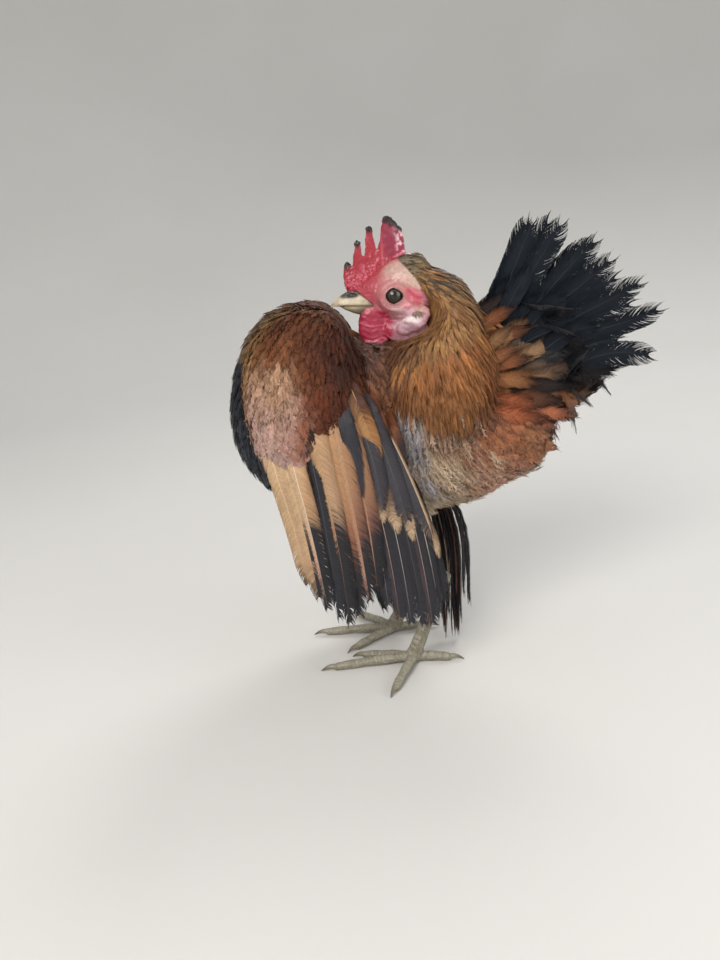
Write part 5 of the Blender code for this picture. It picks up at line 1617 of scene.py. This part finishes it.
# Colours along the front and the rear vane as (place, colour) stops, then the shaft's
vanePatterns = {
    "sand": (((0, sandy), (0.84, sandy), (0.93, "#7A5E48"), (1, inky)),
             ((0, sandy), (0.84, "#BC987A"), (1, "#5A4638")), "#D9C4A0"),
    "sandDarkEdge": (((0, "#C0A07C"), (0.8, "#C0A07C"), (0.9, "#6A5244"), (1, inky)),
                     ((0, "#C0A07C"), (0.45, "#C0A07C"), (0.56, "#6A5244"), (0.66, inky), (1, inky)),
                     "#CDB592"),
    "pale": (((0, "#C6A684"), (0.55, "#CAAA8C"), (0.7, "#C79E84"), (0.82, "#7E6258"), (0.9, inky),
              (1, inky)),
             ((0, "#C6A684"), (0.36, "#C79E78"), (0.48, inky), (1, inky)), "#E3D6C4"),
    "ink": (((0, "#302C31"), (0.3, inky), (1, "#303037")), ((0, "#302C31"), (0.3, inky), (1, "#2E2E35")),
            "#5A565A"),
    "black": (((0, "#3A2A28"), (0.3, "#303036"), (0.93, "#34333A"), (1, "#5A4038")),
              ((0, "#3A2A28"), (0.3, "#303036"), (1, "#34333A")), "#4A464A"),
    "sandInk": (((0, "#B8936C"), (0.4, "#B8936C"), (0.56, "#A87E5C"), (0.64, inky), (1, inky)),
                ((0, "#B8936C"), (0.42, "#BC987A"), (0.56, inky), (1, inky)), "#B08A66"),
    "sandInkLate": (((0, "#B6906A"), (0.45, "#B6906A"), (0.64, "#A9775A"), (0.74, "#4A3A3A"), (0.82, inky),
                     (1, inky)), ((0, "#B6906A"), (0.45, "#B08460"), (0.6, "#94604A"), (0.7, inky),
                                  (1, inky)), "#A9805E"),
    "rufousInk": (((0, "#B08A66"), (0.35, "#B48E6A"), (0.5, "#B08468"), (0.72, "#A87C66"),
                   (0.84, "#B08C78"),
                   (0.92, "#7E5E50"), (1, "#40342F")),
                  ((0, "#AE8664"), (0.4, "#A87E60"), (0.58, "#80584A"), (0.7, inky), (1, inky)), "#B08468"),
    "inkLine": (((0, inky), (1, "#333239")), ((0, inky), (1, "#302F36")), "#DCD0C4"),
    "inkRose": (((0, inky), (0.45, "#39353B"), (0.7, "#4A3C40"), (0.93, "#3A353A"), (1, "#6A4C48")),
                ((0, inky), (1, "#302F36")), "#CFAFA4"),
    "brown": (((0, "#4A3A34"), (0.5, "#5E4A3E"), (0.76, "#9A8066"), (0.88, "#BFA486"), (1, "#A4866A")),
              ((0, "#4A3A34"), (0.55, "#6E5848"), (0.8, "#AE9274"), (0.92, "#C2A88A"), (1, "#8A6E56")),
              "#A89078"),
    "slate": (((0, "#3A3135"), (0.3, slaty), (0.9, "#434047"), (1, "#6A5A50")),
              ((0, "#3A3135"), (0.3, slaty), (1, "#3B3940")), "#6E6660"),
    "slateTanEdge": (((0, "#3A3135"), (0.3, slaty), (0.92, "#434047"), (1, "#7A6656")),
                     ((0, "#6A5040"), (0.25, "#A88A6A"), (0.9, "#C9AE90"), (1, "#A88A6C")), "#D8C6B0"),
    "golden": (((0, "#44281C"), (0.25, "#5E3A24"), (0.45, "#A87C50"), (0.85, "#B08656"), (1, "#7E5030")),
               ((0, "#44281C"), (0.3, "#54301F"), (0.5, "#9C6E44"), (0.85, "#A87C50"), (1, "#74482C")),
               "#B08C60"),
    "russet": (((0, "#6A3A24"), (0.55, "#7E4A2C"), (0.75, "#8A5634"), (0.86, "#3A2A28"), (1, "#332A2C")),
               ((0, "#6A3A24"), (0.5, "#74432A"), (0.7, "#3A2A28"), (1, "#332A2C")), "#9A6A46"),
}
quillLook = {**plainFeather, "barbs": 150, "segments": 3, "quill": 0.02, "shaftEnd": 0.97, "rise": 0.12,
             "fall": 0.8, "power": 2.4, "lead": 0.05, "leadMore": 0.04, "groups": 14, "split": 0.012,
             "wornFrom": 0.5, "groupLift": 0.03, "ragged": 0.03, "overhang": 0.012, "frizz": 0.0006,
             "overlap": 2.0, "cup": 0.1, "twist": 0.12, "shaft": 0.42, "shaftRows": 14, "farJag": 0.06,
             "barbTone": 0.12, "blunt": True, "fray": 0.07}
shortLook = {**quillLook, "barbs": 76, "shaftRows": 9, "shaft": 0.4, "lead": 0.06, "leadMore": 0.08,
             "groups": 8, "rise": 0.22, "fall": 0.62, "power": 2.4, "twist": 0.1, "ragged": 0.05,
             "fray": 0.1, "split": 0.012}


def wingQuills(side, short, look, rng, row):
    chosen = [r for r in wing["rows"] if (r[2] - r[4] < 60) == short]
    strandFrom = 99 if short or side < 0 else -10
    if side > 0 and not short:
        # The far wing hangs in narrow strands: more and slimmer quills
        extra = [(r[0], r[1] + 2.4, *r[2:7], r[7] + 0.2) for r in chosen if r[1] > strandFrom]
        chosen = chosen + extra + extra
    paths, halves, ramps, shafts = [], [], [], []
    u = np.linspace(0, 1, 14)
    heights, outs = zip(*wing["plane"])
    hemX, hemZ = zip(*wingHem)
    for pattern, rootX, rootZ, tipX, tipZ, front, rear, lift in chosen:
        tipX, tipZ = tipX + rng.normal(0, 0.4), tipZ + rng.normal(0, 0.8)
        strand = rootX > strandFrom
        if side > 0:
            t = min(1, (rootX + 42) / 70)
            reach = (rootZ - tipZ) / 80
            tipX += wing["farSwing"] * (0.4 + 0.6 * t) * reach
            tipZ = max(4.0 + 3 * rng.uniform(), tipZ - wing["farDrop"] * reach)
        x = rootX + (tipX - rootX) * u + (wing["bow"] + rng.normal(0, 0.5)) * np.sin(math.pi * u)
        z = rootZ + (tipZ - rootZ) * u
        if strand:
            tipX = rng.uniform(*wing["strandTips"])
            middle = (tipX * 0.75 + 10 + rng.normal(0, 1.5), 70)
            line = smoothLine(((rootX, rootZ), middle, (tipX, 3 + 26 * rng.uniform() ** 2)), 14)
            x, z = line.T
            front, rear = rng.uniform(*wing["strandHalf"], 2)
            pattern = "inkRose" if rng.uniform() < 0.2 else pattern
        lift = lift * smoothStep(0, 0.55 if short else 0.3, u) * (1 - 0.4 * u)
        y = np.interp(z, heights, outs) + 0.03 * (x + 15) + lift
        y = y - wing["tuck"] * smoothStep(-4, 22, x) * smoothStep(96, 132, z)
        if strand:
            y = y + (8 + 3 * rng.normal() - y) * smoothStep(0.1, 1.0, u) ** 1.2
        # Above the hem of the small feathers a quill lies under the skin
        above = z - np.interp(x, hemX, hemZ)
        for i in np.nonzero(above > -1)[0]:
            outer = skinSide(side, x[i], z[i])
            if outer is not None:
                y[i] += min(outer - 0.9 - y[i], 0) * smoothStep(-1, 5, above[i])
        y[1:-1] = (y[:-2] + 2 * y[1:-1] + y[2:]) / 4
        paths.append(np.stack((x, side * y, z), 1))
        halves.append((front, rear) if side < 0 else (rear, front))
        fore, aft, shaft = vanePatterns[pattern]
        ramps.append((fore, aft) if side < 0 else (aft, fore))
        shafts.append(linear(shaft))
    paths = np.array(paths)
    count = len(paths)
    rolls = math.radians(wing["roll"]) + rng.normal(0, 0.06, (count, 1))
    ups = outerSide(paths, np.stack((-np.sin(rolls), side * np.cos(rolls), rolls * 0), -1))
    halves = np.array(halves) * rng.uniform(0.9, 1.1, (count, 2))
    tints = {"ramps": ramps, "shaft": np.array(shafts), "base": np.array(shafts)}
    places = np.array([(0.04 + 0.92 * i / count, 0.15 + 0.3 * row) for i in range(count)])
    return growFeathers(paths, ups, halves, look, tints, places, rng)


for label, side in sides:
    wingRng = np.random.default_rng(71 if side < 0 else 72)
    batchesHere = [wingQuills(side, False, quillLook, wingRng, 0),
                   wingQuills(side, True, shortLook, wingRng, 1)]
    piece = coatObject(f"wing_quills_{label}", batchesHere, quillKeratin)
    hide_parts(f"wing_{label}_primaries", f"wing_{label}_secondaries")

# Tail: seven pairs fan out round one root, as in the frame, and shorter black ones lie over
# them. Each row: angle over the horizontal, reach, half width.
tail = {
    "long": ((69.5, 76, 5.6), (61.5, 80, 5.8), (47, 81, 5.8), (39.5, 79, 5.8), (29, 83, 5.0),
             (18.5, 85, 5.2),
             (4.5, 76, 5.6)),
    "short": ((75, 50, 4.4), (66, 56, 4.6), (54, 48, 4.4), (44, 54, 4.8), (34, 50, 4.4), (23, 56, 4.6)),
    # Brown covering feathers, seen from the side: root x, z, tip x, z, half width, colour, tip colour
    "covers": ((61, 171, 82, 184, 3.6, "#2A211E", "#141315"),
               (60, 166, 80, 175.5, 3.6, "#7A4A30", "#3A2620"),
               (60, 162, 88, 165.5, 3.8, "#6E4229", "#4A3024"),
               (61, 155, 88, 171, 4.0, "#8A6444", "#4A3628"),
               (86, 139, 131, 144, 4.6, "#2A2422", "#1A1719"),
               (74, 140, 108, 136.5, 4.2, "#2E2624", "#1C1A1A"),
               (76, 140, 115, 148.5, 4.2, "#5E4A3C", "#2A2422"),
               (70, 147, 104, 162, 3.8, "#907052", "#5A4838"),
               (63, 149, 86, 152.5, 4.0, "#7E4C30", "#3E2A22"),
               (64, 141, 86, 146, 3.8, "#94623E", "#5E3C28"),
               (70, 134, 104, 127, 4.0, "#5A3A2A", "#241D1B"),
               (60, 131, 97, 119, 4.4, "#9A5638", "#3A2620"),
               (61, 137, 95, 128, 4.2, "#8E4E32", "#2E201C"), (62, 144, 90, 139, 4.0, "#8E5E3C", "#4E3426"),
               (60, 150, 80, 159, 3.4, "#805234", "#5A3A28"),
               (62, 158, 78, 168, 3.2, "#7E5A3C", "#4A3628")),
    "startReach": 14.0, "base": "#0D0E10", "gleam": "#1B2026", "brown": "#2E241E",
}
tailLook = {**plainFeather, "barbs": 230, "segments": 3, "quill": 0.05, "shaftEnd": 0.95, "rise": 0.3,
            "fall": 0.86, "power": 2.8, "lead": 0.1, "leadMore": 0.05, "groups": 16, "split": 0.014,
            "wornFrom": 0.45, "groupLift": 0.05, "ragged": 0.05, "overhang": 0.05, "frizz": 0.0012,
            "overlap": 2.3, "cup": 0.12, "twist": 0.12, "shaft": 0.8, "shaftRows": 14, "farSoft": 0.25,
            "farJag": 0.03, "edgeWidth": 0.35, "edgeShare": 0.7, "streakWidth": 0.1, "streakShare": 0.0,
            "barbTone": 0.25, "rootAt": 0.12, "blunt": True, "fray": 0.13}
tailCoverLook = {**tailLook, "barbs": 130, "rise": 0.35, "fall": 0.78, "power": 2.2, "shaftRows": 10}
tailBrownLook = {**tailLook, "farAt": 0.68, "barbs": 64, "rise": 0.3, "fall": 0.6, "power": 1.9,
                 "shaftRows": 10,
                 "shaft": 0.35,
                 "lead": 0.12, "leadMore": 0.1, "ragged": 0.14, "split": 0.03, "groups": 9, "farSoft": 0.2,
                 "farJag": 0.12, "edgeShare": 0.5, "groupLift": 0.07, "wornFrom": 0.3, "blunt": False,
                 "overlap": 2.6, "rootAt": 0.2}


def tailFeathers(side, rows, look, layer, rng):
    paths = []
    u = np.linspace(0, 1, 16)
    for k, (angle, reach, half) in enumerate(rows):
        angle = math.radians(angle + rng.normal(0, 1.0))
        way = np.array((math.cos(angle), 0, math.sin(angle)))
        across = np.array((-math.sin(angle), 0, math.cos(angle)))
        out = tail["startReach"] + (reach - tail["startReach"]) * u
        bow = 2.4 * np.sin(math.pi * u) + rng.normal(0, 1.2) * np.sin(2 * math.pi * u)
        path = tailRoot + way * out[:, None] + across * bow[:, None]
        wide = 1.2 + 1.3 * k + (1.2 + 1.9 * k) * u if layer == 0 else 2.5 + 1.4 * k + (2.5 + 1.6 * k) * u
        # They lie on the skin of the tail's root, not in it
        for i, p in enumerate(path):
            outer = skinSide(side, p[0], p[2])
            if outer is not None and u[i] > 0.04:
                wide[i] = max(wide[i], outer + 0.5 + 0.2 * k - 0.1 * k * layer)
        wide = np.convolve(np.pad(wide, 2, mode="edge"), np.ones(5) / 5, mode="valid")
        path[:, 1] = side * wide
        paths.append(path)
    paths = np.array(paths)
    count = len(paths)
    ups = outerSide(paths, np.broadcast_to((0.0, side, 0.0), paths.shape))
    halves = np.array([(row[2], row[2]) for row in rows]) * rng.uniform(0.92, 1.08, (count, 2))
    dark = np.repeat(linear(tail["base"])[None], count, 0) * rng.uniform(0.8, 1.3, (count, 1))
    tints = {"base": dark, "far": dark * 0.9, "edge": whitened(dark, tail["gleam"], 0.7),
             "shaft": whitened(dark, "#4A4640", 0.3),
             "root": np.repeat(linear(tail["brown"])[None], count, 0)}
    places = np.array([(0.1 + 0.1 * i, 0.4 + 0.2 * layer) for i in range(count)])
    return growFeathers(paths, ups, halves, look, tints, places, rng)


def tailCovers(side, rng):
    u = np.linspace(0, 1, 12)
    paths, count = [], len(tail["covers"])
    for k, (rootX, rootZ, tipX, tipZ, *_) in enumerate(tail["covers"]):
        x = rootX + (tipX - rootX) * u
        z = rootZ + (tipZ - rootZ) * u + rng.normal(0, 0.8) * np.sin(math.pi * u)
        wide = np.full(12, np.nan)
        for i in range(12):
            outer = skinSide(side, x[i], z[i])
            if outer is not None:
                wide[i] = outer - 0.6 + 5.4 * min(1, u[i] * 2.2) + 0.1 * k
        known = np.nonzero(np.isfinite(wide))[0]
        wide = np.interp(np.arange(12), known, wide[known])
        # Past the body they hold their line
        wide[known[-1]:] = np.maximum(wide[known[-1]:], wide[known[-1]] + 0.3 * np.arange(12 - known[-1]))
        wide = np.convolve(np.pad(wide, 1, mode="edge"), np.ones(3) / 3, mode="valid")
        paths.append(np.stack((x, side * wide, z), 1))
    paths = np.array(paths)
    ups = outerSide(paths, np.broadcast_to((0.0, side, 0.0), paths.shape))
    halves = np.array([(row[4], row[4]) for row in tail["covers"]]) * rng.uniform(0.85, 1.1, (count, 2))
    base = np.array([linear(row[5]) for row in tail["covers"]])
    tints = {"base": base, "far": np.array([linear(row[6]) for row in tail["covers"]]),
             "edge": base * 1.25, "shaft": base * 1.4 + 0.02, "root": base * 0.5}
    places = np.array([(0.1 + 0.06 * i, 0.8) for i in range(count)])
    return growFeathers(paths, ups, halves, tailBrownLook, tints, places, rng)


for label, side in sides:
    tailRng = np.random.default_rng(81 if side < 0 else 82)
    batchesHere = [tailFeathers(side, tail["long"], tailLook, 0, tailRng),
                   tailFeathers(side, tail["short"], tailCoverLook, 1, tailRng)]
    coatObject(f"tail_covers_{label}", [tailCovers(side, tailRng)], contourKeratin)
    piece = coatObject(f"tail_feathers_{label}", batchesHere, blackKeratin)
    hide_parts(*[f"tail_feather_{label}_{k + 1}" for k in range(7)])

# Stage: one pale sweep that is floor and backdrop, and the light from all round
stageLook = {"radius": 0.9, "rise": 1.1, "height": 1.9, "colour": "#D6D4CF", "pale": "#E0DEDA",
             "sky": (0.9, 0.93, 1.0, 1.0), "skyStrength": 0.62}


def buildStage():
    turn = np.linspace(0, 2 * math.pi, 96, endpoint=False)
    bend = np.linspace(0, math.pi / 2, 18)
    reach = [0.001, 0.3, 0.6] + [stageLook["radius"] + stageLook["rise"] * math.sin(b) for b in bend]
    lift = [0, 0, 0] + [stageLook["rise"] * (1 - math.cos(b)) for b in bend]
    reach.append(reach[-1])
    lift.append(stageLook["height"] + stageLook["rise"])
    rings = np.array([[(r * math.cos(a), r * math.sin(a), h) for a in turn] for r, h in zip(reach, lift)])
    count, around = rings.shape[:2]
    faces = [(i * around + k, i * around + (k + 1) % around, (i + 1) * around + (k + 1) % around,
              (i + 1) * around + k) for i in range(count - 1) for k in range(around)]
    faces.append(tuple(range(around))[::-1])
    mesh = bpy.data.meshes.new("studio_floor")
    mesh.from_pydata(rings.reshape(-1, 3).tolist(), [], faces)
    mesh.shade_smooth()
    # Matt paint, very slightly uneven
    material, tree, shader = newMaterial("studio_floor_matt_paint", {"Roughness": 0.85,
                                         "Specular IOR Level": 0.15})
    place = addNode(tree, "ShaderNodeTexCoord")
    cloud = addNode(tree, "ShaderNodeTexNoise", {"Scale": 3.0, "Detail": 3.0},
                    {"Vector": place.outputs["Object"]})
    tone = addNode(tree, "ShaderNodeMix", {"A": rgba(stageLook["colour"]), "B": rgba(stageLook["pale"])},
                   {"Factor": cloud.outputs["Fac"]}, data_type="RGBA")
    tree.links.new(tone.outputs["Result"], shader.inputs["Base Color"])
    mesh.materials.append(material)
    floor = bpy.data.objects.new("studio_floor", mesh)
    bpy.context.scene.collection.objects.link(floor)


buildStage()

# Studio light: a large soft key near the camera's side, a fill and a weak light from behind
lamps = {
    "key": {"place": (-0.45, -0.95, 0.85), "size": 0.7, "power": 12.0, "colour": (1.0, 0.975, 0.95)},
    "fill": {"place": (0.95, -0.6, 0.45), "size": 0.9, "power": 5.0, "colour": (0.95, 0.97, 1.0)},
    "rear": {"place": (0.45, 0.8, 1.1), "size": 0.6, "power": 6.0, "colour": (1.0, 1.0, 1.0)},
}
for name, lamp in lamps.items():
    light = bpy.data.lights.new(name, "AREA")
    light.shape = "DISK"
    light.size = lamp["size"]
    light.energy = lamp["power"]
    light.color = lamp["colour"]
    lightObject = bpy.data.objects.new(name, light)
    bpy.context.scene.collection.objects.link(lightObject)
    lightObject.location = lamp["place"]
    aim = Vector((0, 0, 0.11)) - Vector(lamp["place"])
    lightObject.rotation_euler = aim.to_track_quat("-Z", "Y").to_euler()

world = bpy.data.worlds.new("studio")
world.use_nodes = True
backdrop = world.node_tree.nodes["Background"]
backdrop.inputs["Color"].default_value = stageLook["sky"]
backdrop.inputs["Strength"].default_value = stageLook["skyStrength"]
bpy.context.scene.world = world
bpy.context.scene.view_settings.view_transform = "Standard"

# Camera: at the photo's viewpoint, looking slightly down and tilted a little
cameraLook = {"distance": 0.40, "down": 16.0, "roll": 5.5, "height": 0.0968, "lens": 30.0}


def buildCamera():
    down, roll = math.radians(cameraLook["down"]), math.radians(cameraLook["roll"])
    data = bpy.data.cameras.new("camera")
    data.lens = cameraLook["lens"]
    data.sensor_width = 36.0
    data.clip_start = 0.01
    camera = bpy.data.objects.new("camera", data)
    bpy.context.scene.collection.objects.link(camera)
    right, up = Vector((1, 0, 0)), Vector((0, math.sin(down), math.cos(down)))
    ahead = Vector((0, math.cos(down), -math.sin(down)))
    across = right * math.cos(roll) - up * math.sin(roll)
    upright = right * math.sin(roll) + up * math.cos(roll)
    turn = Matrix((across, upright, -ahead)).transposed()
    place = Vector(birdOrigin) + Vector((0, 0, cameraLook["height"])) - ahead * cameraLook["distance"]
    camera.matrix_world = Matrix.Translation(place) @ turn.to_4x4()
    bpy.context.scene.camera = camera


buildCamera()
bpy.context.view_layer.update()
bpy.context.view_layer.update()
say("finished")
